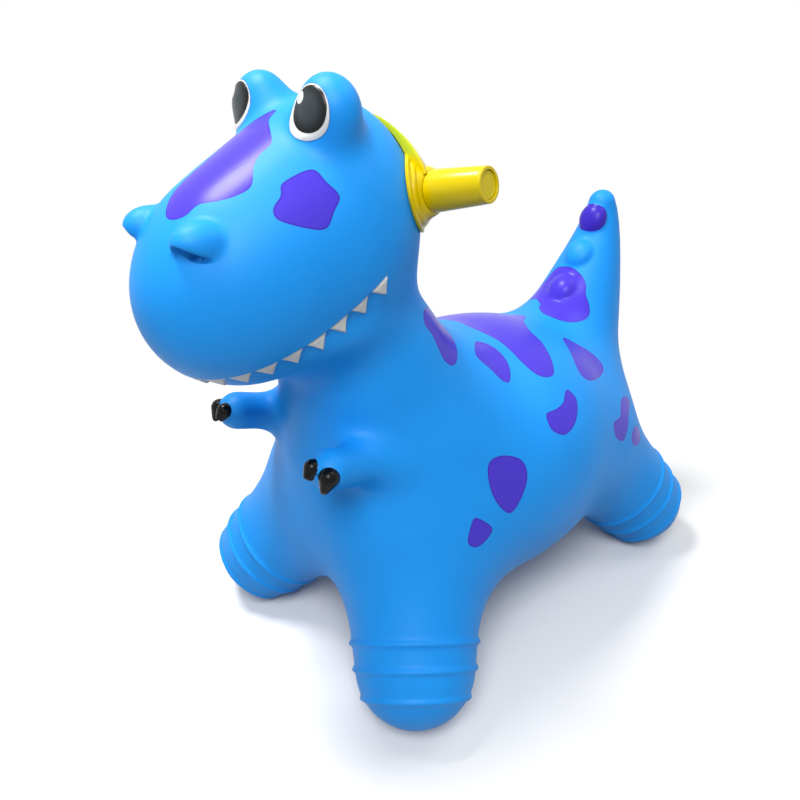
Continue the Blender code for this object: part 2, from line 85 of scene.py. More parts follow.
# %% [markdown]
# ## The skin as a distance field
#
# A rotocast toy has no edges: every limb swells out of the body in a soft fillet. It could be sculpted, or
# built as a cage with subdivision. Here it is a distance field, which says for any point how far outside the
# skin it is. Balls and tapered limbs are joined by a rounded minimum, and the fillet is the rounding.
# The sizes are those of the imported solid, so the skin lands where the frame has it. Only the tail is drawn
# finer, as one smooth curve where the solid has two straight pieces.

# %% Distance to a ball, to a tapered limb, and the soft joint between them
TINY = 1e-9


def ball(points, centre, size, pitch=0.0):
    """Distance from an ellipsoid of this width, length and height, tipped nose down by pitch."""
    local = (points - np.array(centre)) @ np.array(Matrix.Rotation(pitch, 3, "X"))
    radii = np.array(size) / 2
    near = np.linalg.norm(local / radii, axis=1)
    slope = np.linalg.norm(local / radii**2, axis=1)
    return near * (near - 1) / np.maximum(slope, TINY)


def taper(points, start, start_radius, end, end_radius):
    """Distance from two balls of unlike radius and the cone that joins them."""
    along = np.array(end) - np.array(start)
    length = np.linalg.norm(along)
    shrink = (start_radius - end_radius) / length
    slant = math.sqrt(1 - shrink**2)
    local = points - np.array(start)
    height = local @ along / length
    out = np.linalg.norm(local - height[:, None] * along / length, axis=1)
    foot = height * slant - out * shrink
    at_start = np.hypot(out, height) - start_radius
    at_end = np.hypot(out, height - length) - end_radius
    on_side = out * slant + height * shrink - start_radius
    return np.where(foot < 0, at_start, np.where(foot > slant * length, at_end, on_side))


def blended(first, second, blend):
    """The nearer of two distances, rounded off where they are within blend of each other."""
    close = np.maximum(blend - np.abs(first - second), 0) / blend
    return np.minimum(first, second) - close**2 * blend / 4


def eased(values, low, high):
    """0 below low, 1 above high, and a smooth rise between."""
    share = np.clip((values - low) / (high - low), 0, 1)
    return share**2 * (3 - 2 * share)


# %% The large forms: torso, neck, legs, tail and head
SIDES = {"left": np.array((1, 1, 1)), "right": np.array((-1, 1, 1))}
TORSO = ((0, 0.0364, 0.164), (0.299, 0.403, 0.269))
NECK = ((0, -0.0786, 0.237), 0.094, (0, -0.1296, 0.373), 0.054)
FRONT_LEG = ((0.0615, -0.0986, 0.127), 0.0675, (0.1147, -0.1466, 0.053), 0.054)
HIND_LEG = ((0.067, 0.1664, 0.137), 0.0665, (0.1145, 0.2344, 0.052), 0.053)
RUMP, RUMP_RADIUS = np.array((0, 0.2273, 0.1886)), 0.0467
SKULL = ((0, -0.1346, 0.428), (0.1494, 0.1348, 0.180))
SNOUT = ((0, -0.1976, 0.404), (0.1472, 0.1948, 0.1586), math.radians(23.4))
JAW = ((0, -0.1676, 0.3645), (0.1394, 0.149, 0.0782))
NECK_BLEND, FRONT_LEG_BLEND, HIND_LEG_BLEND = 0.053, 0.057, 0.050
RUMP_BLEND, TAIL_BLEND = 0.030, 0.053
SNOUT_BLEND, JAW_BLEND, HEAD_BLEND = 0.047, 0.010, 0.030
# The tail leaves its root towards a guide and bends to its tip: place along Y, height, radius.
TAIL_ROOT, TAIL_GUIDE, TAIL_TIP = (0.1995, 0.191, 0.0737), (0.2757, 0.352, 0.0249), (0.2623, 0.3897, 0.0149)
TAIL_STEPS = 8


def tail_limbs():
    """Short tapered limbs, end to end, along the tail's curve."""
    share = np.linspace(0, 1, TAIL_STEPS + 1)[:, None]
    first, bend, last = (np.array(place) for place in (TAIL_ROOT, TAIL_GUIDE, TAIL_TIP))
    curve = (1 - share) ** 2 * first + 2 * share * (1 - share) * bend + share**2 * last
    places = [((0, y, z), radius) for y, z, radius in curve]
    return [(*start, *end) for start, end in zip(places, places[1:])]


TAIL = tail_limbs()


def main_forms(points):
    """Distance from the body and head, with no eyes, horns or arms."""
    field = blended(ball(points, *TORSO), taper(points, *NECK), NECK_BLEND)
    for leg, blend in ((FRONT_LEG, FRONT_LEG_BLEND), (HIND_LEG, HIND_LEG_BLEND)):
        for side in SIDES.values():
            field = blended(field, taper(points * side, *leg), blend)
    tail = np.min([taper(points, *limb) for limb in TAIL], axis=0)
    tail = blended(tail, np.linalg.norm(points - RUMP, axis=1) - RUMP_RADIUS, RUMP_BLEND)
    field = blended(field, tail, TAIL_BLEND)
    head = blended(ball(points, *SKULL), ball(points, *SNOUT), SNOUT_BLEND)
    head = blended(head, ball(points, *JAW), JAW_BLEND)
    return blended(field, head, HEAD_BLEND)


print("tail:", len(TAIL), "short limbs, up to z", round(TAIL_TIP[1] + TAIL_TIP[2], 4))

# %% [markdown]
# ## Finding the skin
#
# Handle, studs and paint all sit on the skin, so a step along a line to where the field turns positive is
# needed again and again. The slope of the field gives the way that the skin faces there.

# %% Steps to the skin and the way it faces
SEARCH_LENGTH = 0.16
SEARCH_STEPS = 641
SLOPE_STEP = 0.0001
LEAST_STEEPNESS = 0.3


def reach(distance, starts, directions, level=0.0):
    """How far along each direction from each start, which is inside, the distance first passes level."""
    starts = np.atleast_2d(np.array(starts, dtype=float))
    directions = np.broadcast_to(np.array(directions, dtype=float), starts.shape)
    steps = np.linspace(0, SEARCH_LENGTH, SEARCH_STEPS)
    points = starts[:, None] + steps[:, None] * directions[:, None]
    values = distance(points.reshape(-1, 3)).reshape(len(starts), SEARCH_STEPS) - level
    after = np.maximum((values > 0).argmax(axis=1), 1)
    row = np.arange(len(starts))
    before = np.minimum(values[row, after - 1], 0)
    share = np.where(values[:, 0] > 0, 0, before / (before - values[row, after]))
    return steps[after - 1] + share * steps[1]


def unit(vectors):
    """The vectors, each made one long."""
    return vectors / np.linalg.norm(vectors, axis=-1, keepdims=True)


def slope_of(distance, points):
    """Which way the distance grows at each point, and how fast."""
    rises = [distance(points + step) - distance(points - step) for step in np.eye(3) * SLOPE_STEP]
    return np.stack(rises, axis=1) / (2 * SLOPE_STEP)


def settled(distance, points, rounds):
    """The points, moved along the field's slope until they lie on the skin."""
    for _ in range(rounds):
        slope = slope_of(distance, points)
        steepness = np.maximum((slope**2).sum(axis=1), LEAST_STEEPNESS)
        points = points - slope * (distance(points) / steepness)[:, None]
    return points


crown = SKULL[0][2] + reach(main_forms, SKULL[0], (0, 0, 1))[0]
print("crown of the head at z", round(crown, 4))

# %% [markdown]
# ## Small moulded forms
#
# Eye bumps, nose horns, arms with claws, and round studs up the tail. On the toy they are part of the same
# moulding, with tighter fillets than the limbs. The studs sit two thirds sunk in the ridge of the tail.

# %% Eyes, horns, arms, claws and studs
EYE = ((0.0395, -0.1586, 0.509), (0.0494, 0.0394, 0.0498))
HORN = ((0.0335, -0.2575, 0.438), (0.030, 0.043, 0.029), math.radians(-8))
HOOD_EDGE, HOOD_FACING = np.array((0.0416, -0.2688, 0.4343)), np.array((0.287, -0.525, -0.801))
ARM = ((0.0614, -0.1326, 0.239), 0.0165, (0.0675, -0.1935, 0.259), 0.0168)
EYE_BLEND, HORN_BLEND, HOOD_BLEND, ARM_BLEND = 0.017, 0.003, 0.002, 0.023
CLAWS = (
    ((0.0635, -0.2080, 0.2655), 0.0068, (0.0645, -0.2150, 0.2572), 0.0026),
    ((0.0785, -0.2040, 0.2615), 0.0080, (0.0790, -0.2095, 0.2525), 0.0032),
)
CLAW_BLEND = 0.0005
STUD_SIZE, STUD_SINK, STUD_BLEND = (0.032, 0.021, 0.035), 0.0032, 0.0030
STUD_HEIGHTS = (0.3035, 0.339, 0.3752)


def stud_places():
    """Centre and pitch of each stud, which lies flat on the tail's front ridge and is sunk a little in it."""
    starts = np.array([(0, TAIL_TIP[0], height) for height in STUD_HEIGHTS])
    ridge = starts - np.outer(reach(main_forms, starts, (0, -1, 0)), (0, 1, 0))
    facing = unit(slope_of(main_forms, ridge))
    pitches = -np.arctan2(facing[:, 2], -facing[:, 1])
    return [(place, STUD_SIZE, pitch) for place, pitch in zip(ridge - STUD_SINK * facing, pitches)]


STUDS = stud_places()


def horn(points):
    """Distance from the left horn, a hood with a flat underside."""
    return -blended(-ball(points, *HORN), -((points - HOOD_EDGE) @ HOOD_FACING), HOOD_BLEND)


def plain_skin(points):
    """The skin with all its limbs and studs and none of the fine relief."""
    field = main_forms(points)
    for form, sizes, blend in ((ball, EYE, EYE_BLEND), (horn, (), HORN_BLEND), (taper, ARM, ARM_BLEND)):
        for side in SIDES.values():
            field = blended(field, form(points * side, *sizes), blend)
    for stud in STUDS:
        field = blended(field, ball(points, *stud), STUD_BLEND)
    return field


print("studs at", [centre.round(4).tolist() for centre, _, _ in STUDS])

# %% [markdown]
# ## Relief in the mould
#
# Each foot has three rings, rounded above and stepped below. The upper lip overhangs the jaw along a line
# that rises to the corners in a smile. A slit under each horn makes the nostril, and the eye discs stand a
# little proud. All of these are added to the field, because relief made only by bump would be lost from the
# outline.

# %% Rings round the feet
FRONT_RINGS = (-0.019, 0.003, 0.0275)
HIND_RINGS = (-0.032, -0.0075, 0.0165)
RING_PROUD, RING_ABOVE, RING_BELOW = 0.0026, 0.0031, 0.0020
# Rings fade away over these distances from the leg's own taper, where the leg swells into the body.
RING_FADE = (0.004, 0.016)


def ring_relief(points, leg, heights):
    """How far one leg's rings stand out of its side. Heights run along the leg, past the foot's centre."""
    start, _, end, _ = leg
    along = np.array(end) - np.array(start)
    height = (points - np.array(end)) @ along / np.linalg.norm(along)
    fade = 1 - eased(taper(points, *leg), *RING_FADE)
    rise = np.zeros(len(points))
    for ring in heights:
        spread = np.where(height < ring, RING_ABOVE, RING_BELOW)
        rise = np.maximum(rise, np.exp(-(((height - ring) / spread) ** 2)))
    return RING_PROUD * rise * fade


print("rings on each foot:", len(FRONT_RINGS), "standing", RING_PROUD * 1000, "mm proud")

# %% The lip, the nostrils and the eye discs
MOUTH_FRONT_Y, MOUTH_CORNER_Y = -0.2625, -0.1440
MOUTH_FRONT_Z, MOUTH_RISE, MOUTH_CURVE = 0.3425, 0.30, 1.9
LIP_DEPTH, LIP_EDGE, JAW_FADE = 0.0020, 0.0009, 0.030
LIP_END_FADE = (-0.015, 0.005)
NOSTRIL_CENTRE, NOSTRIL_ALONG = np.array((0.0386, -0.2693, 0.4336)), np.array((0.356, 0.835, -0.420))
NOSTRIL_RADII, NOSTRIL_BLEND = np.array((0.0155, 0.0050, 0.0024)), 0.001
EYE_DISC_CENTRE = np.array((0.0425, -0.1765, 0.5106))
EYE_DISC_FACING = np.array((0.151, -0.957, 0.243))
EYE_DISC_PROUD, EYE_DISC_EDGE, FAR_AWAY = 0.0007, 0.0012, 1.0
EYE_OUT = np.cross(EYE_DISC_FACING, (0, 0, -1)) / math.hypot(*EYE_DISC_FACING[:2])
EYE_UP = np.cross(EYE_DISC_FACING, EYE_OUT)
# One stencil paints both eyes, and it sits a little towards the animal's right. A circle on it is given by
# how far it lies to the animal's left and up, its radius, and how far behind its face it still reaches.
EYE_DISC = (-0.0022, 0.0, 0.0174, 0.012)


def mouth_height(y):
    """Height of the lip, which rises towards the corner in a smile."""
    back = y - MOUTH_FRONT_Y
    return MOUTH_FRONT_Z + MOUTH_RISE * back + MOUTH_CURVE * back**2


def mouth_slope(y):
    """How steeply the lip rises there."""
    return MOUTH_RISE + 2 * MOUTH_CURVE * (y - MOUTH_FRONT_Y)


def mouth_depth(points):
    """How far a point lies below the lip's curve, square to it."""
    return (mouth_height(points[:, 1]) - points[:, 2]) / np.hypot(1, mouth_slope(points[:, 1]))


def along_lip(points, low, high, past):
    """True in a band between two depths below the lip, to this far past the mouth's corner."""
    depth = mouth_depth(points)
    return (depth > low) & (depth < high) & (points[:, 1] < MOUTH_CORNER_Y + past)


def lip_relief(points):
    """How far the jaw is set back under the lip."""
    depth = mouth_depth(points)
    step = eased(depth, -LIP_EDGE, LIP_EDGE) * (1 - eased(depth, LIP_EDGE, JAW_FADE))
    return LIP_DEPTH * step * (1 - eased(points[:, 1] - MOUTH_CORNER_Y, *LIP_END_FADE))


def eye_circle(points, side, left, up, radius, depth):
    """Distance from a circle on one side's eye, measured across its face, negative inside."""
    local = points * side - EYE_DISC_CENTRE - side[0] * left * EYE_OUT - up * EYE_UP
    height = local @ EYE_DISC_FACING
    across = np.linalg.norm(local - height[:, None] * EYE_DISC_FACING, axis=1)
    return np.where(height > -depth, across, FAR_AWAY) - radius


def nostril_distance(points):
    """Rough distance from the almond-shaped hollow under the left horn's hood."""
    axes = np.stack((NOSTRIL_ALONG, np.cross(NOSTRIL_ALONG, HOOD_FACING), HOOD_FACING), axis=1)
    local = (points - NOSTRIL_CENTRE) @ axes / NOSTRIL_RADII
    return (np.linalg.norm(local, axis=1) - 1) * NOSTRIL_RADII.min()


def claw_distance(points):
    """Distance from the nearest claw of the left hand."""
    return np.minimum(*(taper(points, *claw) for claw in CLAWS))


def moulded_skin(points):
    """The skin with its relief."""
    field = plain_skin(points) + lip_relief(points)
    for side in SIDES.values():
        sided = points * side
        field = field - ring_relief(sided, FRONT_LEG, FRONT_RINGS) - ring_relief(sided, HIND_LEG, HIND_RINGS)
        field = field - EYE_DISC_PROUD * (1 - eased(eye_circle(points, side, *EYE_DISC), -EYE_DISC_EDGE, 0))
        field = -blended(-field, nostril_distance(sided), NOSTRIL_BLEND)
        field = blended(field, claw_distance(sided), CLAW_BLEND)
    return field


print("lip rises from", MOUTH_FRONT_Z, "to", round(mouth_height(MOUTH_CORNER_Y), 4))

# %% [markdown]
# ## From field to mesh
#
# Rough balls are fused by a voxel Remesh, and each point then slides down the field's slope on to the skin.
# A second, finer Remesh gives even quads. Where relief is fine, at the rings, lip, eyes and claws, faces are
# cut again, and round the teeth and nostrils once more, so detail costs faces only where it is.

# %% Mesh helpers
COARSE_VOXEL, FINE_VOXEL = 0.006, 0.0026
SKIN_SHARP_DEGREES, PLASTIC_SHARP_DEGREES = 50, 35


def add_object(name, mesh, sharp_degrees=None):
    """A smooth-shaded object, with sharp edges where faces meet at more than this angle."""
    obj = bpy.data.objects.new(name, mesh)
    bpy.context.scene.collection.objects.link(obj)
    mesh.shade_smooth()
    if sharp_degrees:
        mesh.set_sharp_from_angle(angle=math.radians(sharp_degrees))
    return obj


def after_modifier(mesh, kind, **settings):
    """The mesh as one modifier leaves it."""
    holder = add_object("holder", mesh)
    modifier = holder.modifiers.new(kind, kind)
    for setting, value in settings.items():
        setattr(modifier, setting, value)
    graph = bpy.context.evaluated_depsgraph_get()
    result = bpy.data.meshes.new_from_object(holder.evaluated_get(graph))
    bpy.data.objects.remove(holder)
    return result


def mesh_from(name, working):
    """A mesh from a working one, with its faces turned outwards."""
    bmesh.ops.recalc_face_normals(working, faces=working.faces)
    mesh = bpy.data.meshes.new(name)
    working.to_mesh(mesh)
    working.free()
    return mesh


def points_of(mesh):
    points = np.empty(len(mesh.vertices) * 3)
    mesh.vertices.foreach_get("co", points)
    return points.reshape(-1, 3)


def set_points(mesh, points):
    mesh.vertices.foreach_set("co", points.ravel())
    mesh.update()


# %% Rough balls that the skin starts from
ROUGH_BALLS = 7


def rough_mesh():
    """Overlapping balls that fill the large forms."""
    working = bmesh.new()

    def add_ball(centre, radii):
        place = Matrix.Translation(centre) @ Matrix.Diagonal((*radii, 1))
        bmesh.ops.create_icosphere(working, subdivisions=3, radius=1.0, matrix=place)

    def add_limb(start, start_radius, end, end_radius):
        for share in np.linspace(0, 1, ROUGH_BALLS):
            radius = start_radius + share * (end_radius - start_radius)
            add_ball(Vector(start).lerp(Vector(end), share), (radius, radius, radius))

    for centre, size in (TORSO, SKULL, SNOUT[:2], JAW):
        add_ball(centre, np.array(size) / 2)
    for limb in (NECK, *TAIL):
        add_limb(*limb)
    for side in SIDES.values():
        for start, start_radius, end, end_radius in (FRONT_LEG, HIND_LEG, ARM, *CLAWS):
            add_limb(side * start, start_radius, side * end, end_radius)
        for centre, size in (EYE, HORN[:2]):
            add_ball(side * centre, np.array(size) / 2)
    return mesh_from("rough_skin", working)


# %% The skin's mesh
# Faces are cut this near to a claw or nostril and to an eye's rim, and where a ring stands this proud.
REFINE_LIMIT, EYE_REFINE, NOSTRIL_REFINE, RING_TRACE = 0.0045, 0.022, 0.002, 0.00005
# Bands along the lip: highest and lowest, as depths below it, and how far past the mouth's corner.
LIP_REFINE, TEETH_REFINE = (-0.009, 0.017, 0.010), (-0.003, 0.017, 0.008)


def wants_detail(points):
    """True where the relief is finer than the voxels."""
    wanted = along_lip(points, *LIP_REFINE)
    for side in SIDES.values():
        sided = points * side
        for leg, rings in ((FRONT_LEG, FRONT_RINGS), (HIND_LEG, HIND_RINGS)):
            wanted |= ring_relief(sided, leg, rings) > RING_TRACE
        wanted |= np.abs(eye_circle(points, side, *EYE_DISC)) < EYE_REFINE
        wanted |= claw_distance(sided) < REFINE_LIMIT
        wanted |= nostril_distance(sided) < REFINE_LIMIT
    return wanted


def wants_fine_detail(points):
    """True round the teeth and the nostrils, which have the sharpest corners."""
    wanted = along_lip(points, *TEETH_REFINE)
    for side in SIDES.values():
        wanted |= nostril_distance(points * side) < NOSTRIL_REFINE
    return wanted


def refined(mesh, wants):
    """The mesh with the faces that want detail cut in four."""
    working = bmesh.new()
    working.from_mesh(mesh)
    working.edges.ensure_lookup_table()
    wanted = wants(points_of(mesh))
    edges = [edge for edge in working.edges if all(wanted[corner.index] for corner in edge.verts)]
    bmesh.ops.subdivide_edges(working, edges=edges, cuts=1, use_grid_fill=True)
    return mesh_from("skin", working)


def skin_mesh():
    """The whole skin, settled on its field, with no point below the floor."""
    mesh = rough_mesh()
    for voxel in (COARSE_VOXEL, FINE_VOXEL):
        mesh = after_modifier(mesh, "REMESH", mode="VOXEL", voxel_size=voxel, adaptivity=0.0)
        set_points(mesh, settled(moulded_skin, points_of(mesh), rounds=4))
    for wants in ((wants_detail, wants_fine_detail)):
        mesh = refined(mesh, wants)
        set_points(mesh, settled(moulded_skin, points_of(mesh), rounds=2))
    points = points_of(mesh)
    points[:, 2] = np.maximum(points[:, 2], 0)
    set_points(mesh, points)
    return mesh


skin = skin_mesh()
print("skin:", len(skin.vertices), "points,", len(skin.polygons), "faces")

# %% [markdown]
# ## The valve's recess
#
# The air plug sits in a round recess under the tail, with a port behind it. The frame's plug gives the place
# and the radius. A Boolean cuts both, since a crisp edge is wanted here, and it comes before the paint.

# %% Cut the recess and the port
PLUG_LOW, PLUG_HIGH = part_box("air_plug")
PLUG_HEAD_RADIUS = (PLUG_HIGH.z - PLUG_LOW.z) / 2
PLUG_HEAD_HEIGHT = 0.004
FIT_GAP = 0.0004
VALVE_FLOOR_Y = PLUG_HIGH.y - PLUG_HEAD_HEIGHT - FIT_GAP
VALVE_Z = (PLUG_HIGH.z + PLUG_LOW.z) / 2
NAIL_SPACE, PORT_RADIUS, PORT_END_SPACE = 0.0012, 0.005, 0.002
CUTTER_REACH = 0.03
SPIN_STEPS, MERGE_DISTANCE = 96, 1e-6
FACING_BACK = Matrix.Rotation(math.radians(-90), 4, "X")


def turned_mesh(name, profile):
    """A solid turned about local Z from (radius, height) points that run from the axis round to the axis."""
    working = bmesh.new()
    points = [working.verts.new((radius, 0, height)) for radius, height in profile]
    edges = [working.edges.new(pair) for pair in zip(points, points[1:])]
    bmesh.ops.spin(
        working, geom=[*points, *edges], axis=(0, 0, 1), cent=(0, 0, 0),
        angle=2 * math.pi, steps=SPIN_STEPS, use_merge=True,
    )
    bmesh.ops.remove_doubles(working, verts=working.verts, dist=MERGE_DISTANCE)
    return mesh_from(name, working)


def cut_round(mesh, radius, depth):
    """The mesh with a round hole cut in from the back, to this depth below the valve's floor."""
    profile = [(0, -depth), (radius, -depth), (radius, CUTTER_REACH), (0, CUTTER_REACH)]
    cutter = add_object("cutter", turned_mesh("cutter", profile))
    cutter.matrix_world = Matrix.Translation((0, VALVE_FLOOR_Y, VALVE_Z)) @ FACING_BACK
    result = after_modifier(mesh, "BOOLEAN", operation="DIFFERENCE", solver="EXACT", object=cutter)
    bpy.data.objects.remove(cutter)
    return result


skin = cut_round(skin, PLUG_HEAD_RADIUS + NAIL_SPACE, 0)
skin = cut_round(skin, PORT_RADIUS, VALVE_FLOOR_Y - PLUG_LOW.y + PORT_END_SPACE)
print("valve floor at y", round(VALVE_FLOOR_Y, 4), "z", round(VALVE_Z, 4))

# %% [markdown]
# ## The painted spots
#
# The spots are sprayed through stencils, so each has a crisp, soft-cornered outline. They could be image
# textures, but a texture would need a layout of the whole skin. Instead each spot is a closed curve through a
# few points, in millimetres on a flat stencil held against the skin. Every point of the mesh stores its
# distance to the nearest outline, and the material turns that number into paint.
# First number: towards the tail. Second number: up the side, or towards the animal's right along the middle.

# %% Stencils, in millimetres
SIDE_SPOTS = {
    "cheek": ((0.0606, -0.1969, 0.4602), (
        (12, 19), (-9, 16), (-14, 8), (-22, 1), (-21, -7), (-5, -17), (7, -20), (16, -11), (23, -3),
        (18, 8))),
    "neck": ((0.0553, -0.0571, 0.3273), (
        (-28, 24), (-12, 28), (6, 22), (24, 4), (14, -14), (-2, -25), (-14, -21), (-20, -8), (-24, 4),
        (-32, 14))),
    "shoulder": ((0.0629, 0.0016, 0.2914), (
        (4, 26), (16, 20), (19, 6), (14, -11), (0, -26), (-9, -23), (-14, -9), (-20, 6), (-12, 16))),
    "rear_flank": ((0.0799, 0.1344, 0.2574), (
        (0, 33), (14, 21), (32, 0), (32, -15), (8, -23), (-25, -24), (-36, -13), (-24, 7))),
    "crescent": ((0.1193, 0.0422, 0.2449), (
        (21, 16), (25, 3), (9, -14), (-12, -20), (-26, -10), (-24, 5), (-10, 5), (4, 7), (12, 13))),
    "rump_upper": ((0.1248, 0.1518, 0.1988), (
        (27, 18), (40, 9), (20, 1), (2, -12), (-14, -21), (-31, -11), (-29, 3), (-9, 4), (8, 15))),
    "rump_lower": ((0.1328, 0.1721, 0.1702), ((8, 11), (18, 1), (8, -9), (-8, -7), (-16, 2), (-8, 10))),
    "flank": ((0.1272, -0.0478, 0.2101), (
        (2, 24), (-14, 23), (-19, 6), (-16, -13), (-5, -28), (8, -22), (21, -4), (20, 13))),
    "foreleg": ((0.1306, -0.0867, 0.1772), ((1, 14), (14, -1), (6, -9), (-6, -11), (-13, -3), (-5, 12))),
}
MIDDLE_SPOTS = {
    "snout": ((0.0, -0.2233, 0.4830), (
        (59, 4), (47, -2), (37, -15), (29, -24), (18, -25), (8, -29), (-5, -39), (-17, -37), (-28, -30),
        (-36, -22), (-47, -19), (-53, -11), (-51, -2), (-38, 8), (-20, 14), (-4, 16), (12, 20), (26, 25),
        (40, 20), (52, 11))),
    "saddle": ((0.0, 0.0850, 0.2985), (
        (54, 4), (26, -16), (8, -38), (2, -60), (-10, -84), (-24, -98), (-42, -94), (-49, -76), (-48, -44),
        (-54, -12), (-50, 14), (-48, 46), (-46, 74), (-36, 92), (-16, 88), (-2, 62), (10, 36), (30, 18))),
    "tail": ((0.0, 0.1896, 0.2961), (
        (38, -4), (34, -16), (28, -25), (19, -31), (8, -34), (-5, -41), (-16, -43), (-23, -36), (-27, -22),
        (-29, -5), (-21, 9), (-14, 12), (-10, 24), (-14, 35), (-4, 43), (10, 38), (24, 32), (34, 24),
        (38, 8))),
}
# A point this far from an outline, in metres, has no paint, and one that faces away this much is passed over.
NO_PAINT, LEAST_FACING = 0.02, -0.3
CURVE_STEPS = 8


def rounded_outline(points):
    """A smooth closed curve through the points, as many short straight pieces."""
    points = np.array(points, dtype=float)
    before, after, further = np.roll(points, 1, 0), np.roll(points, -1, 0), np.roll(points, -2, 0)
    pieces = []
    for share in np.linspace(0, 1, CURVE_STEPS, endpoint=False):
        pieces.append(0.5 * (
            2 * points + (after - before) * share
            + (2 * before - 5 * points + 4 * after - further) * share**2
            + (3 * points - before - 3 * after + further) * share**3))
    return np.stack(pieces, axis=1).reshape(-1, 2)


def outline_distance(flat, outline):
    """Distance from a closed outline in the plane, negative inside."""
    nearest = np.full(len(flat), np.inf)
    inside = np.zeros(len(flat), dtype=bool)
    for start, end in zip(outline, np.roll(outline, -1, 0)):
        edge = end - start
        share = np.clip(((flat - start) @ edge) / max(edge @ edge, TINY), 0, 1)
        nearest = np.minimum(nearest, np.linalg.norm(flat - start - share[:, None] * edge, axis=1))
        spans = (start[1] > flat[:, 1]) != (end[1] > flat[:, 1])
        rise = edge[1] if abs(edge[1]) > TINY else TINY
        inside ^= spans & (flat[:, 0] < start[0] + edge[0] * (flat[:, 1] - start[1]) / rise)
    return np.where(inside, -nearest, nearest)


print("stencils:", len(SIDE_SPOTS), "for each side and", len(MIDDLE_SPOTS), "along the middle")

# %% Hold each stencil against the skin and store the distance
def stencil_distance(points, normals, centre, outline):
    """Distance from one stencil's outline at each point, in metres, and NO_PAINT away from it."""
    centre = settled(plain_skin, np.array([centre]), rounds=6)[0]
    facing = unit(slope_of(plain_skin, centre[None])[0])
    along = unit(np.array((0, 1, 0)) - facing * facing[1])
    across = np.cross(facing, along)
    curve = rounded_outline(outline) / 1000
    local = points - centre
    length = np.linalg.norm(local, axis=1)
    near = (length < np.linalg.norm(curve, axis=1).max() + NO_PAINT) & (normals @ facing > LEAST_FACING)
    flat = np.stack((local[near] @ along, local[near] @ across), axis=1)
    flat *= (length[near] / np.maximum(np.linalg.norm(flat, axis=1), TINY))[:, None]
    found = np.full(len(points), NO_PAINT)
    found[near] = np.minimum(outline_distance(flat, curve), NO_PAINT)
    return found


def store(mesh, name, values):
    """Keeps one number for each point, in millimetres, for the material to read."""
    layer = mesh.attributes.new(name, "FLOAT", "POINT")
    layer.data.foreach_set("value", (values * 1000).astype(np.float32))


PAINTED_STUDS = (STUDS[0], STUDS[2])
points = points_of(skin)
normals = np.array([vertex.normal for vertex in skin.vertices])
spots = np.full(len(points), NO_PAINT)
for centre, outline in MIDDLE_SPOTS.values():
    spots = np.minimum(spots, stencil_distance(points, normals, centre, outline))
for side in SIDES.values():
    for centre, outline in SIDE_SPOTS.values():
        spots = np.minimum(spots, stencil_distance(points * side, normals * side, centre, outline))
for centre, size, pitch in PAINTED_STUDS:
    spots = np.minimum(spots, ball(points, centre, [side + STUD_BLEND / 2 for side in size], pitch))
store(skin, "spots", spots)
print("spots cover", round(float((spots < 0).mean()) * 100, 1), "% of the points")

# %% [markdown]
# ## Eyes, teeth, claws and nostrils
#
# These are painted too. An eye is a white disc, a dark iris set high and inwards on it, and a round white
# glint. The teeth are white triangles that hang from the lip at an even pitch, measured along the lip.

# %% Distances for the eyes, claws and nostrils
IRIS, GLINT = (-0.0006, 0.0018, 0.0147, 0.014), (-0.0095, 0.0085, 0.0040, 0.014)


def both(distance):
    """The nearer of the two sides' distances."""
    return np.minimum(*(np.minimum(distance(points * side), NO_PAINT) for side in SIDES.values()))


for name, circle in (("eye", EYE_DISC), ("iris", IRIS), ("glint", GLINT)):
    sides = [eye_circle(points, side, *circle) for side in SIDES.values()]
    store(skin, name, np.minimum(np.minimum(*sides), NO_PAINT))
store(skin, "claw", both(claw_distance))
store(skin, "nostril", both(nostril_distance))
print("eye outward", EYE_OUT.round(2), "up", EYE_UP.round(2))

# %% Distances for the teeth, which stand out of the jaw a little
TOOTH_PITCH, TOOTH_BASE, TOOTH_HEIGHT, TEETH_EACH_SIDE = 0.0197, 0.0168, 0.0130, 9
TOOTH_PROUD, TOOTH_EDGE, TOOTH_OVER_LIP = 0.0018, 0.0012, 0.0005
# Only points this far above, below, past the corner and across the middle are measured, a batch at a time.
TOOTH_ABOVE, TOOTH_BELOW, TOOTH_PAST, TOOTH_ACROSS = 0.004, 0.006, 0.02, 0.004
BATCH = 4000
LIP_STEPS, LIP_TURN = 181, math.radians(150)


def lip_line():
    """Points along the left half of the lip, from the middle of the mouth to its corner."""
    turns = np.linspace(0, LIP_TURN, LIP_STEPS)
    ways = np.stack((np.sin(turns), -np.cos(turns), np.zeros(LIP_STEPS)), axis=1)
    middle = np.tile((0, (MOUTH_FRONT_Y + MOUTH_CORNER_Y) / 2, 0), (LIP_STEPS, 1))

    def lifted(flat):
        return np.stack((flat[:, 0], flat[:, 1], mouth_height(flat[:, 1])), axis=1)

    lengths = reach(lambda flat: plain_skin(lifted(flat)), middle, ways)
    return lifted(middle + lengths[:, None] * ways)


LIP = lip_line()
LIP_RUN = np.concatenate(([0], np.cumsum(np.linalg.norm(np.diff(LIP, axis=0), axis=1))))


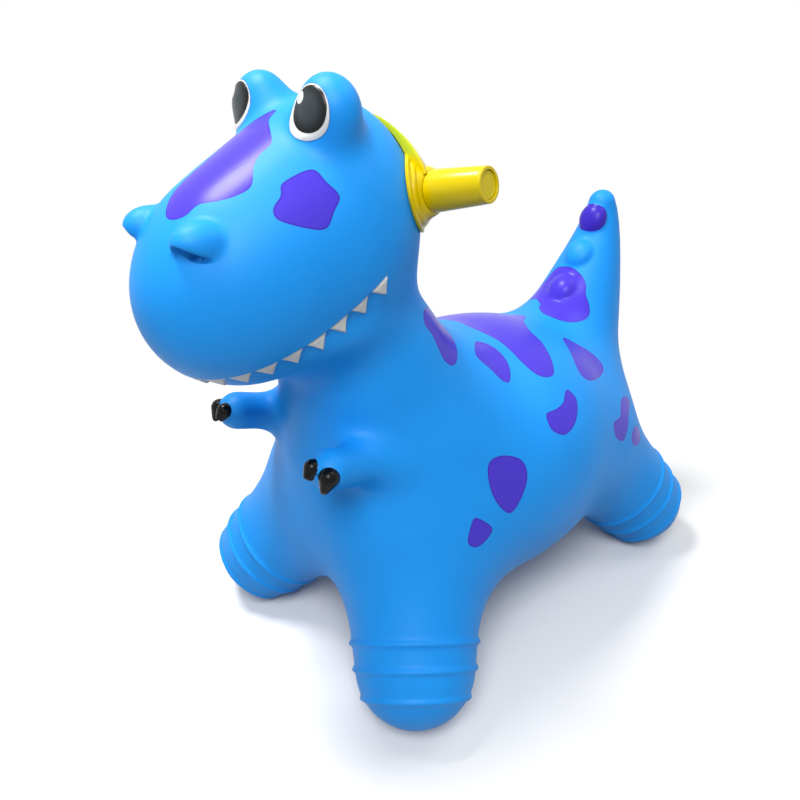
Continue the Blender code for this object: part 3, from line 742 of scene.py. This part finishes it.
def teeth_distance(points):
    """Distance from the nearest tooth of the left side."""
    depth = mouth_depth(points)
    near = along_lip(points, -TOOTH_ABOVE, TOOTH_HEIGHT + TOOTH_BELOW, TOOTH_PAST)
    near &= points[:, 0] > -TOOTH_ACROSS
    found = np.full(len(points), NO_PAINT)
    rise = mouth_slope(points[near, 1])
    lift = np.stack((np.zeros(len(rise)), -rise, np.ones(len(rise))), axis=1) / np.hypot(1, rise)[:, None]
    flat = points[near] + depth[near][:, None] * lift
    ways = unit(np.gradient(LIP, axis=0))
    run = np.empty(len(flat))
    for first in range(0, len(flat), BATCH):
        part = flat[first : first + BATCH]
        nearest = ((part[:, None] - LIP[None]) ** 2).sum(axis=2).argmin(axis=1)
        run[first : first + BATCH] = LIP_RUN[nearest] + ((part - LIP[nearest]) * ways[nearest]).sum(axis=1)
    number = np.clip(np.floor(run / TOOTH_PITCH), 0, TEETH_EACH_SIDE - 1)
    aside = np.abs(run - (number + 0.5) * TOOTH_PITCH)
    half_base = TOOTH_BASE / 2
    flank = math.hypot(half_base, TOOTH_HEIGHT)
    side = ((aside - half_base) * TOOTH_HEIGHT + depth[near] * half_base) / flank
    found[near] = np.minimum(np.maximum(side, -depth[near] - TOOTH_OVER_LIP), NO_PAINT)
    return found


teeth = both(teeth_distance)
store(skin, "teeth", teeth)
set_points(skin, points + normals * (TOOTH_PROUD * (1 - eased(teeth, -TOOTH_EDGE, 0.0)))[:, None])
print("lip is", round(LIP_RUN[-1] * 1000), "mm round each side")
body = add_object("inflated_skin", skin, SKIN_SHARP_DEGREES)
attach(body, "hopper")
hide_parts("inflated_body")

# %% [markdown]
# ## The handle
#
# The handle is hard plastic: a strap over the head behind the eyes, a stepped collar on each side that hugs
# the skin, and a tapered grip with a disc in its end. The collar's foot is found by stepping from the grip's
# axis to the skin, so it follows the head all round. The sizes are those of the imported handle, and the head
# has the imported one's form, so each piece lands on the frame's own node.

# %% Where the grips leave the head
SKULL_BACK_Y, HANDLE_Z = -0.0896, 0.451
GRIP_RISE, GRIP_SWEEP = math.radians(11.5), math.radians(8.0)
GRIP_SEAT_X = reach(plain_skin, (0, SKULL_BACK_Y, HANDLE_Z), (1, 0, 0))[0]
GRIP_BASE_RADIUS, GRIP_END_RADIUS, GRIP_LENGTH = 0.0155, 0.0128, 0.0467
COLLAR_NECK, COLLAR_DROP = 0.007, 0.008
TURN_STEPS = 120
TURNS = np.linspace(0, 2 * math.pi, TURN_STEPS, endpoint=False)


def grip_place(side):
    """The matrix that stands local +Z along a grip, at its seat on the head."""
    level = math.cos(GRIP_RISE)
    axis = Vector((side[0] * level * math.cos(GRIP_SWEEP), level * math.sin(GRIP_SWEEP), math.sin(GRIP_RISE)))
    seat = Vector((side[0] * GRIP_SEAT_X, SKULL_BACK_Y, HANDLE_Z))
    return Matrix.Translation(seat) @ axis.to_track_quat("Z", "Y").to_matrix().to_4x4()


def grip_ring(side, radius, heights):
    """Points all round a grip's axis, at this radius and at these heights above the seat."""
    place = np.array(grip_place(side))
    heights = np.broadcast_to(heights, TURN_STEPS)
    around = np.stack((radius * np.cos(TURNS), radius * np.sin(TURNS), heights), axis=1)
    return around @ place[:3, :3].T + place[:3, 3]


def foot_heights(side, radius):
    """Heights above the seat, all round, at which a ring of this radius meets the skin."""
    axis = np.array(grip_place(side))[:3, 2]
    return reach(plain_skin, grip_ring(side, radius, -COLLAR_DROP), axis, level=FIT_GAP) - COLLAR_DROP


COLLAR_TOP = foot_heights(SIDES["left"], GRIP_BASE_RADIUS).max() + COLLAR_NECK
GRIP_START = COLLAR_TOP + FIT_GAP
GRIP_END = GRIP_START + GRIP_LENGTH
print("grips seat at x", round(GRIP_SEAT_X, 4))
print("grips run from", round(GRIP_START, 4), "to", round(GRIP_END, 4), "above the seat")

# %% The stepped collars
# Each step is (radius, share of the way from the foot to the collar's top, height above that).
COLLAR_STEPS = (
    (0.0094, 0.0, 0.0), (0.0200, 0.0, 0.0), (0.0285, 0.0, 0.0), (0.0290, 0.0, 0.0006), (0.0290, 0.0, 0.0024),
    (0.0284, 0.0, 0.0031), (0.0262, 0.0, 0.0034), (0.0257, 0.0, 0.0030), (0.0252, 0.0, 0.0028),
    (0.0246, 0.03, 0.0033), (0.0240, 0.06, 0.0040), (0.0222, 0.14, 0.0044), (0.0216, 0.18, 0.0040),
    (0.0206, 0.32, 0.0028), (0.0190, 0.58, 0.0014), (0.0175, 0.82, 0.0006), (0.0162, 0.96, 0.0002),
    (0.0156, 1.0, 0.0), (0.0150, 1.0, 0.0), (0.0094, 1.0, 0.0),
)


def rings_mesh(name, rings, joined_ends):
    """A solid through rings of points, closed end to end, or capped where the ends aren't joined."""
    working = bmesh.new()
    loops = [[working.verts.new(point) for point in ring] for ring in rings]
    pairs = list(zip(loops, loops[1:]))
    if joined_ends:
        pairs.append((loops[-1], loops[0]))
    else:
        working.faces.new(loops[0])
        working.faces.new(loops[-1])
    for first, second in pairs:
        for index in range(len(first)):
            following = (index + 1) % len(first)
            working.faces.new((first[index], first[following], second[following], second[index]))
    return mesh_from(name, working)


def collar_mesh(side):
    """One collar, a ring of steps whose foot follows the skin."""
    steps = []
    for radius, share, above in COLLAR_STEPS:
        foot = foot_heights(side, radius)
        steps.append(grip_ring(side, radius, foot + share * (COLLAR_TOP - foot) + above))
    return rings_mesh("collar", np.stack(steps, axis=1), joined_ends=True)


# %% The strap over the head
STRAP_SET_BACK, STRAP_GAP = 0.003, 0.0009
STRAP_WIDTH, STRAP_FOOT_WIDTH = 0.014, 0.024
STRAP_THICKNESS, STRAP_FOOT_THICKNESS = 0.0032, 0.0115
STRAP_START = math.radians(13.5)
STRAP_STEPS, STRAP_FLARE = 72, 4
# Outline of the strap across its width: share of the width, share of the thickness.
STRAP_OUTLINE = (
    (-0.5, 0.0), (-0.25, 0.0), (0.0, 0.0), (0.25, 0.0), (0.5, 0.0), (0.5, 0.35), (0.5, 0.72), (0.48, 0.88),
    (0.43, 0.97), (0.36, 1.0), (0.18, 1.0), (0.0, 1.0), (-0.18, 1.0), (-0.36, 1.0), (-0.43, 0.97),
    (-0.48, 0.88), (-0.5, 0.72), (-0.5, 0.35),
)


def strap_mesh():
    """The strap, which grows wider and thicker towards its feet and keeps a gap to the skin."""
    rings = []
    for angle in np.linspace(STRAP_START, math.pi - STRAP_START, STRAP_STEPS):
        out = np.array((math.cos(angle), 0, math.sin(angle)))
        share = (math.cos(angle) / math.cos(STRAP_START)) ** STRAP_FLARE
        width = STRAP_WIDTH + share * (STRAP_FOOT_WIDTH - STRAP_WIDTH)
        thickness = STRAP_THICKNESS + share * (STRAP_FOOT_THICKNESS - STRAP_THICKNESS)
        ring = []
        for across, over in STRAP_OUTLINE:
            start = np.array((0, SKULL_BACK_Y + STRAP_SET_BACK + across * width, HANDLE_Z))
            ring.append(start + reach(plain_skin, start, out, level=STRAP_GAP + over * thickness)[0] * out)
        rings.append(ring)
    return rings_mesh("handle_yoke_plastic", rings, joined_ends=False)


def yoke_mesh():
    """Strap and collars, fused as one moulding."""
    mesh = strap_mesh()
    for side in SIDES.values():
        collar = add_object("collar", collar_mesh(side))
        mesh = after_modifier(mesh, "BOOLEAN", operation="UNION", solver="EXACT", object=collar)
        bpy.data.objects.remove(collar)
    return mesh


yoke = add_object("handle_yoke_plastic", yoke_mesh(), PLASTIC_SHARP_DEGREES)
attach(yoke, "hopper")
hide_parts("handle_yoke")
print("yoke:", len(yoke.data.polygons), "faces")

# %% Grips and end discs
SPIGOT_RADIUS, SOCKET_DEPTH, SPIGOT_END_SPACE = 0.009, 0.022, 0.001
GRIP_WALL, GRIP_FLOOR, GRIP_LIP = 0.0028, 0.004, 0.001
GRIP_CHAMFER, GRIP_BAND, GRIP_STEP, GRIP_STEP_LENGTH = 0.0004, 0.0040, 0.0002, 0.0005
END_RECESS, END_THICKNESS, END_DISH, END_RIM = 0.0012, 0.004, 0.0003, 0.0016
ARC_STEPS = 6


def arc(centre, radius, first_degrees, last_degrees):
    """Points of a fillet in a turned profile."""
    turns = np.radians(np.linspace(first_degrees, last_degrees, ARC_STEPS))
    return [(centre[0] + radius * math.cos(turn), centre[1] + radius * math.sin(turn)) for turn in turns]


def grip_profile():
    """Spigot, tapered side, rounded rim and bore, from the axis round to the axis."""
    bore = GRIP_END_RADIUS - GRIP_WALL
    lip = GRIP_LIP
    return [
        (0, SPIGOT_END_SPACE - SOCKET_DEPTH), (SPIGOT_RADIUS, SPIGOT_END_SPACE - SOCKET_DEPTH),
        (SPIGOT_RADIUS, GRIP_START), (GRIP_BASE_RADIUS - GRIP_CHAMFER, GRIP_START),
        (GRIP_BASE_RADIUS, GRIP_START + GRIP_CHAMFER),
        (GRIP_END_RADIUS + GRIP_STEP, GRIP_END - GRIP_BAND - GRIP_STEP_LENGTH),
        (GRIP_END_RADIUS, GRIP_END - GRIP_BAND),
        *arc((GRIP_END_RADIUS - lip, GRIP_END - lip), lip, 0, 90),
        *arc((bore + lip / 2, GRIP_END - lip / 2), lip / 2, 90, 180),
        (bore, GRIP_START + GRIP_FLOOR), (0, GRIP_START + GRIP_FLOOR),
    ]


def end_disc_profile():
    """A disc with a shallow dish inside its rim."""
    radius = GRIP_END_RADIUS - GRIP_WALL - FIT_GAP
    top = GRIP_END - END_RECESS
    edge = END_DISH / 2
    return [
        (0, top - END_THICKNESS), (radius, top - END_THICKNESS),
        *arc((radius - edge, top - edge), edge, 0, 90),
        (radius - END_RIM, top), (radius - END_RIM - END_DISH, top - END_DISH), (0, top - END_DISH),
    ]


grips, end_discs = [], []
for name, side in SIDES.items():
    for made, profile, piece, node, slot in (
        (grips, grip_profile(), f"grip_{name}_plastic", f"grip_{name}", "handle"),
        (end_discs, end_disc_profile(), f"grip_end_disc_{name}", f"grip_end_plug_{name}", "end_plug"),
    ):
        obj = add_object(piece, turned_mesh(piece, profile), PLASTIC_SHARP_DEGREES)
        obj.matrix_world = grip_place(side)
        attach(obj, "hopper")
        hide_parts(node)
        made.append(obj)
print("grips:", [obj.name for obj in grips + end_discs])

# %% [markdown]
# ## The air plug
#
# A soft white stopper with a mushroom head and a plain stem. It slides straight out of the port, so it rides
# on the plug's own body. Its profile is turned, with a rounded rim for a fingernail to catch.

# %% Turn the plug
PLUG_EDGE, PLUG_CROWN_RADIUS, PLUG_TIP_RADIUS, PLUG_TIP_LENGTH = 0.002, 0.007, 0.0035, 0.003
PLUG_CHAMFER, PLUG_CROWN_SPREAD, PLUG_CROWN_DROP = 0.0006, 0.0008, 0.0003
# A shallow dimple in the head, left by the mould's gate.
DIMPLE_RADIUS, DIMPLE_FLOOR_RADIUS, DIMPLE_DEPTH, DIMPLE_MIDDLE_DEPTH = 0.0035, 0.0030, 0.0006, 0.0008


def air_plug_profile():
    """Tapered tip, stem, rounded head and dimple."""
    stem = PORT_RADIUS - FIT_GAP
    low = PLUG_LOW.y - VALVE_FLOOR_Y
    rim = PLUG_EDGE / 2
    top = FIT_GAP + PLUG_HEAD_HEIGHT
    return [
        (0, low), (PLUG_TIP_RADIUS - PLUG_CHAMFER, low), (PLUG_TIP_RADIUS, low + PLUG_CHAMFER),
        (stem, low + PLUG_TIP_LENGTH), (stem, FIT_GAP), (PLUG_HEAD_RADIUS - rim, FIT_GAP),
        *arc((PLUG_HEAD_RADIUS - rim, FIT_GAP + rim), rim, -90, 60),
        (PLUG_CROWN_RADIUS + PLUG_CROWN_SPREAD, top - PLUG_CROWN_DROP), (PLUG_CROWN_RADIUS, top),
        (DIMPLE_RADIUS, top), (DIMPLE_FLOOR_RADIUS, top - DIMPLE_DEPTH), (0, top - DIMPLE_MIDDLE_DEPTH),
    ]


plug_mesh = turned_mesh("air_plug_stopper", air_plug_profile())
plug = add_object("air_plug_stopper", plug_mesh, PLASTIC_SHARP_DEGREES)
plug.matrix_world = Matrix.Translation((0, VALVE_FLOOR_Y, VALVE_Z)) @ FACING_BACK
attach(plug, "plug")
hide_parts("air_plug")
print("plug:", tuple(round(side, 4) for side in plug.dimensions))

# %% [markdown]
# ## Writing a material
#
# A finish is a small tree of nodes. One function adds any node and one gives it values or links. The few
# kinds that every finish uses have a function each. Colours are written as sRGB hex, as a paint chart gives
# them, and turned to the linear light that the renderer works in.

# %% Colour and node helpers
def linear(hex_colour):
    """An sRGB hex colour as linear red, green, blue and alpha."""
    shares = [int(hex_colour[first : first + 2], 16) / 255 for first in (1, 3, 5)]
    return (*(s / 12.92 if s <= 0.04045 else ((s + 0.055) / 1.055) ** 2.4 for s in shares), 1.0)


def give(tree, node, inputs):
    """Gives a node's inputs values or links."""
    for name, value in inputs.items():
        if isinstance(value, bpy.types.NodeSocket):
            tree.links.new(value, node.inputs[name])
        else:
            node.inputs[name].default_value = value


def add_node(tree, kind, inputs=None, **settings):
    """Adds a node, sets its settings and returns its outputs."""
    node = tree.nodes.new(kind)
    for name, value in settings.items():
        setattr(node, name, value)
    give(tree, node, inputs or {})
    return node.outputs


# A Mix node has inputs for every type at once: 2 and 3 take numbers, and 6 and 7 take colours.
def mixed_colour(tree, amount, under, over):
    """One colour laid over another."""
    inputs = {"Factor": amount, 6: under, 7: over}
    return add_node(tree, "ShaderNodeMix", inputs, data_type="RGBA")[2]


def mixed_number(tree, amount, under, over):
    """One number laid over another."""
    return add_node(tree, "ShaderNodeMix", {"Factor": amount, 2: under, 3: over})[0]


def ramp(tree, value, low, high, first=0.0, last=1.0, shape="LINEAR"):
    """First where the value is below low, last where it is above high, and a ramp between."""
    inputs = {"Value": value, "From Min": low, "From Max": high, "To Min": first, "To Max": last}
    return add_node(tree, "ShaderNodeMapRange", inputs, interpolation_type=shape)["Result"]


def object_place(tree):
    """Where a point is, in its object's own frame."""
    return add_node(tree, "ShaderNodeTexCoord")["Object"]


def noise(tree, size_mm, detail, roughness=0.5):
    """A cloudy pattern of this size."""
    inputs = {"Vector": object_place(tree), "Scale": 1000 / size_mm, "Detail": detail, "Roughness": roughness}
    return add_node(tree, "ShaderNodeTexNoise", inputs)["Fac"]


def relief(tree, height, strength, depth):
    """The way a face turns for relief too fine to model."""
    inputs = {"Height": height, "Strength": strength, "Distance": depth}
    return add_node(tree, "ShaderNodeBump", inputs)["Normal"]


def start_material(name):
    """A material with its node tree and its Principled shader."""
    made = bpy.data.materials.new(name)
    made.use_nodes = True
    return made, made.node_tree, made.node_tree.nodes["Principled BSDF"]


def dress(obj, finish):
    """Gives a piece its one finish."""
    obj.data.materials.clear()
    obj.data.materials.append(finish)


print("middle grey in linear light:", round(linear("#808080")[0], 3))

# %% [markdown]
# ## Rotocast soft PVC, sprayed with paint
#
# The skin is soft PVC, spun in a hot mould. That leaves a satin face with a very fine pebble, and colour all
# through, so the eye sees a broad, dull gleam. The paints are vinyl inks, smoother than the skin, so the
# purple, the eyes and the claws show tighter highlights. The nostril is left rough from the mould.
# Each paint is a mask made from the distances stored on the points, soft over a few tenths of a millimetre.

# %% The skin's finish
SKIN_BLUE, SKIN_DEEP_BLUE = "#1696EE", "#128DE6"
SPOT_PURPLE, SPOT_EDGE_PURPLE = "#4A38C8", "#3A28AC"
EYE_WHITE, EYE_LINE, IRIS_GREY, IRIS_EDGE = "#DEDFDC", "#1C5FA8", "#343D41", "#0E1112"
# The nostril's darker blue is painted shade in the hollow under the horn's hood.
TOOTH_WHITE, CLAW_BLACK, NOSTRIL_SHADE_BLUE = "#C9CBCB", "#060708", "#1478CE"
# Solid PVC has an IOR of 1.53 and a satin face a roughness of 0.5. Plasticiser and the pebble scatter part of
# the mirror light, so the shine is about half the usual 0.5.
PVC_IOR, PVC_ROUGHNESS, PVC_SHINE = 1.53, 0.50, 0.24
ROUGHNESS_SPREAD = 0.03
# The real pebble is some 0.3 mm across. It is drawn at 1.6 mm, the finest that shows from here.
PEBBLE_MM, PEBBLE_STRENGTH, PEBBLE_DEPTH, CLOUD_MM = 1.6, 0.12, 0.0002, 45.0
EDGE_MM = 0.3
# Coats in the order they are sprayed: colour, stored distance, and where it is full and gone in millimetres.
COATS = (
    (SPOT_EDGE_PURPLE, "spots", -EDGE_MM, EDGE_MM),
    (SPOT_PURPLE, "spots", -1.6, -0.5),
    # Painted shade: a darker blue in the nostril's hollow.
    (NOSTRIL_SHADE_BLUE, "nostril", -0.2, 0.8),
    (EYE_LINE, "eye", 0.2, 0.9),
    (EYE_WHITE, "eye", -EDGE_MM, EDGE_MM),
    (IRIS_EDGE, "iris", -EDGE_MM, EDGE_MM),
    (IRIS_GREY, "iris", -9.0, -0.5),
    (EYE_WHITE, "glint", -EDGE_MM, EDGE_MM),
    (TOOTH_WHITE, "teeth", -EDGE_MM, EDGE_MM),
    (CLAW_BLACK, "claw", 0.2, 0.7),
)
# Gloss of the paints: stored distance, where it is full and gone, roughness, shine.
GLOSSES = (
    ("spots", -EDGE_MM, EDGE_MM, 0.27, 0.13),
    ("eye", -EDGE_MM, EDGE_MM, 0.30, 0.22),
    ("claw", 0.2, 0.7, 0.22, 0.15),
    ("nostril", -0.2, 0.8, 0.60, 0.08),
)


def skin_finish():
    """Blue PVC with every paint on it."""
    finish, tree, shader = start_material("rotocast_soft_pvc")

    def mask(name, full, gone):
        """1 where the stored distance is below full and 0 above gone, in millimetres."""
        stored = add_node(tree, "ShaderNodeAttribute", attribute_name=name)["Fac"]
        return ramp(tree, stored, full, gone, 1, 0, "SMOOTHSTEP")

    clouds = noise(tree, CLOUD_MM, detail=3.0)
    pebble = noise(tree, PEBBLE_MM, detail=2.0, roughness=0.6)
    colour = mixed_colour(tree, clouds, linear(SKIN_BLUE), linear(SKIN_DEEP_BLUE))
    for paint, name, full, gone in COATS:
        colour = mixed_colour(tree, mask(name, full, gone), colour, linear(paint))
    rough = ramp(tree, clouds, 0, 1, PVC_ROUGHNESS - ROUGHNESS_SPREAD, PVC_ROUGHNESS + ROUGHNESS_SPREAD)
    shine = PVC_SHINE
    for name, full, gone, paint_rough, paint_shine in GLOSSES:
        amount = mask(name, full, gone)
        rough = mixed_number(tree, amount, rough, paint_rough)
        shine = mixed_number(tree, amount, shine, paint_shine)
    give(tree, shader, {
        "Base Color": colour, "Roughness": rough, "Specular IOR Level": shine, "IOR": PVC_IOR,
        "Normal": relief(tree, pebble, PEBBLE_STRENGTH, PEBBLE_DEPTH),
    })
    return finish


dress(body, skin_finish())
print("skin finish:", body.data.materials[0].name)

# %% [markdown]
# ## Moulded plastics
#
# The handle is polypropylene from a polished mould: bright yellow, glossy, with fine rub marks from hands.
# Its strap is tinted greener above the collars: painted shade, with a painted reflection of the blue skin.
# The end discs are the same plastic with a duller face. The plug is soft polyethylene, waxy and white. Such
# plastics have an IOR near 1.5, and a roughness from 0.2 off a polished mould to 0.45 off a plain one.

# %% Handle and plug finishes
HANDLE_YELLOW, HANDLE_DEEP_YELLOW = "#D6BE00", "#C8AE00"
DISC_YELLOW, DISC_DEEP_YELLOW = "#D2C000", "#C3B000"
PLUG_WHITE, PLUG_GREY = "#F2F2EE", "#E4E4DE"
# Green-yellow on the strap: painted shade, with a painted reflection of the blue skin.
STRAP_PAINTED_SHADE = "#C4CA20"
# The strap leaves the thick collars between these heights, and from there up it carries painted shade with a
# painted reflection of the blue skin.
SHADE_TINT_FROM_Z, SHADE_TINT_ALL_Z = 0.472, 0.484
PLASTIC_IOR, PLASTIC_SHINE = 1.49, 0.25
# Slow drifts in the colour, and how far rub marks take the roughness down and up. Real rub marks are finer.
FLOW_MM, RUB_DOWN, RUB_UP, RUB_DEPTH = 25.0, 0.05, 0.06, 0.0001
# Name: bright and deep colour, roughness, size and strength of the rub marks, colour of the painted shade up
# the strap.
PLASTICS = {
    "glossy_polypropylene": (HANDLE_YELLOW, HANDLE_DEEP_YELLOW, 0.22, 1.5, 0.05, None),
    "glossy_polypropylene_with_painted_shade": (HANDLE_YELLOW, HANDLE_DEEP_YELLOW, 0.22, 1.5, 0.05, STRAP_PAINTED_SHADE),
    "satin_polypropylene": (DISC_YELLOW, DISC_DEEP_YELLOW, 0.34, 0.9, 0.10, None),
    "soft_polyethylene": (PLUG_WHITE, PLUG_GREY, 0.45, 0.8, 0.08, None),
}


def plastic_finish(name):
    """A moulded plastic that drifts between two colours, and up the strap to a third, which is painted shade.
    """
    bright, deep, roughness, rub_mm, rub_strength, shade_tint = PLASTICS[name]
    finish, tree, shader = start_material(name)
    colour = mixed_colour(tree, noise(tree, FLOW_MM, detail=2.0), linear(bright), linear(deep))
    # Painted shade, with a painted reflection of the blue skin, greens the strap above the collars.
    if shade_tint:
        height = add_node(tree, "ShaderNodeSeparateXYZ", {"Vector": object_place(tree)})["Z"]
        amount = ramp(tree, height, SHADE_TINT_FROM_Z, SHADE_TINT_ALL_Z, shape="SMOOTHSTEP")
        colour = mixed_colour(tree, amount, colour, linear(shade_tint))
    rubs = noise(tree, rub_mm, detail=3.0)
    give(tree, shader, {
        "Base Color": colour, "Specular IOR Level": PLASTIC_SHINE, "IOR": PLASTIC_IOR,
        "Roughness": ramp(tree, rubs, 0, 1, roughness - RUB_DOWN, roughness + RUB_UP),
        "Normal": relief(tree, rubs, rub_strength, RUB_DEPTH),
    })
    return finish


plastics = {name: plastic_finish(name) for name in PLASTICS}
dress(yoke, plastics["glossy_polypropylene_with_painted_shade"])
for obj in grips:
    dress(obj, plastics["glossy_polypropylene"])
for obj in end_discs:
    dress(obj, plastics["satin_polypropylene"])
dress(plug, plastics["soft_polyethylene"])
print("plastics:", list(plastics))

# %% [markdown]
# ## Stage and light
#
# A pale floor that fades to plain white away from the object keeps the contact shadow and a white picture.
# The fade is in the floor's own material and only the camera and mirrors see it, so it adds no light.
# A small soft lamp above the far shoulder gives the gleam on the snout, a wide one in front lights the near
# side, a weak one behind rounds the back, and a dim sky fills the shade.

# %% Floor
FLOOR_SIZE = 12.0
FLOOR_PALE, FLOOR_BOUNCE = "#F4F4F4", "#9C9C9C"
SHADOW_RADIUS, WHITE_RADIUS = 0.35, 0.95
FLOOR_ROUGHNESS, FLOOR_DROP = 0.9, 0.0002


def seen_directly(tree):
    """1 for rays from the camera, from mirrors and through glass."""
    path = add_node(tree, "ShaderNodeLightPath")
    seen = path["Is Camera Ray"]
    for kind in ("Is Glossy Ray", "Is Transmission Ray"):
        seen = add_node(tree, "ShaderNodeMath", {0: seen, 1: path[kind]}, operation="MAXIMUM")[0]
    return seen


def floor_finish():
    """Matt and pale, greyer in what it throws back, and plain white far from the object."""
    finish, tree, shader = start_material("pale_floor")
    direct = seen_directly(tree)
    tone = mixed_colour(tree, direct, linear(FLOOR_BOUNCE), linear(FLOOR_PALE))
    give(tree, shader, {"Base Color": tone, "Roughness": FLOOR_ROUGHNESS, "Specular IOR Level": 0.0})
    place = add_node(tree, "ShaderNodeNewGeometry")["Position"]
    far = add_node(tree, "ShaderNodeVectorMath", {0: place}, operation="LENGTH")["Value"]
    fade = ramp(tree, far, SHADOW_RADIUS, WHITE_RADIUS, shape="SMOOTHERSTEP")
    amount = add_node(tree, "ShaderNodeMath", {0: fade, 1: direct}, operation="MULTIPLY")[0]
    white = add_node(tree, "ShaderNodeEmission", {"Strength": 1.0})["Emission"]
    shown = add_node(tree, "ShaderNodeMixShader", {0: amount, 1: shader.outputs["BSDF"], 2: white})["Shader"]
    give(tree, tree.nodes["Material Output"], {"Surface": shown})
    return finish


def make_floor():
    working = bmesh.new()
    bmesh.ops.create_grid(working, x_segments=2, y_segments=2, size=FLOOR_SIZE / 2)
    floor = add_object("floor", mesh_from("floor", working))
    floor.location.z = -FLOOR_DROP
    dress(floor, floor_finish())
    return floor


print("stage:", make_floor().name)

# %% Lamps and sky
LAMPS = {
    # name: place, size in metres, power in watts
    "key_softbox": ((-0.50, -0.42, 1.90), 0.55, 28.0),
    "rear_softbox": ((0.60, 0.90, 1.90), 1.0, 6.0),
    "side_softbox": ((0.80, -1.00, 1.65), 0.9, 24.0),
}
LAMP_AIM = Vector((0, 0, 0.25))
SKY_STRENGTH = 0.34


def make_lamps():
    for name, (place, size, power) in LAMPS.items():
        data = bpy.data.lights.new(name, "AREA")
        data.shape = "DISK"
        data.size = size
        data.energy = power
        lamp = bpy.data.objects.new(name, data)
        lamp.location = place
        lamp.rotation_euler = (LAMP_AIM - Vector(place)).to_track_quat("-Z", "Y").to_euler()
        bpy.context.scene.collection.objects.link(lamp)


def make_sky():
    sky = bpy.data.worlds.new("studio_sky")
    sky.use_nodes = True
    tree = sky.node_tree
    strength = ramp(tree, seen_directly(tree), 0, 1, SKY_STRENGTH, 1.0)
    give(tree, tree.nodes["Background"], {"Color": (1, 1, 1, 1), "Strength": strength})
    bpy.context.scene.world = sky


make_lamps()
make_sky()
bpy.context.scene.view_settings.view_transform = "Standard"
print("lamps:", list(LAMPS))
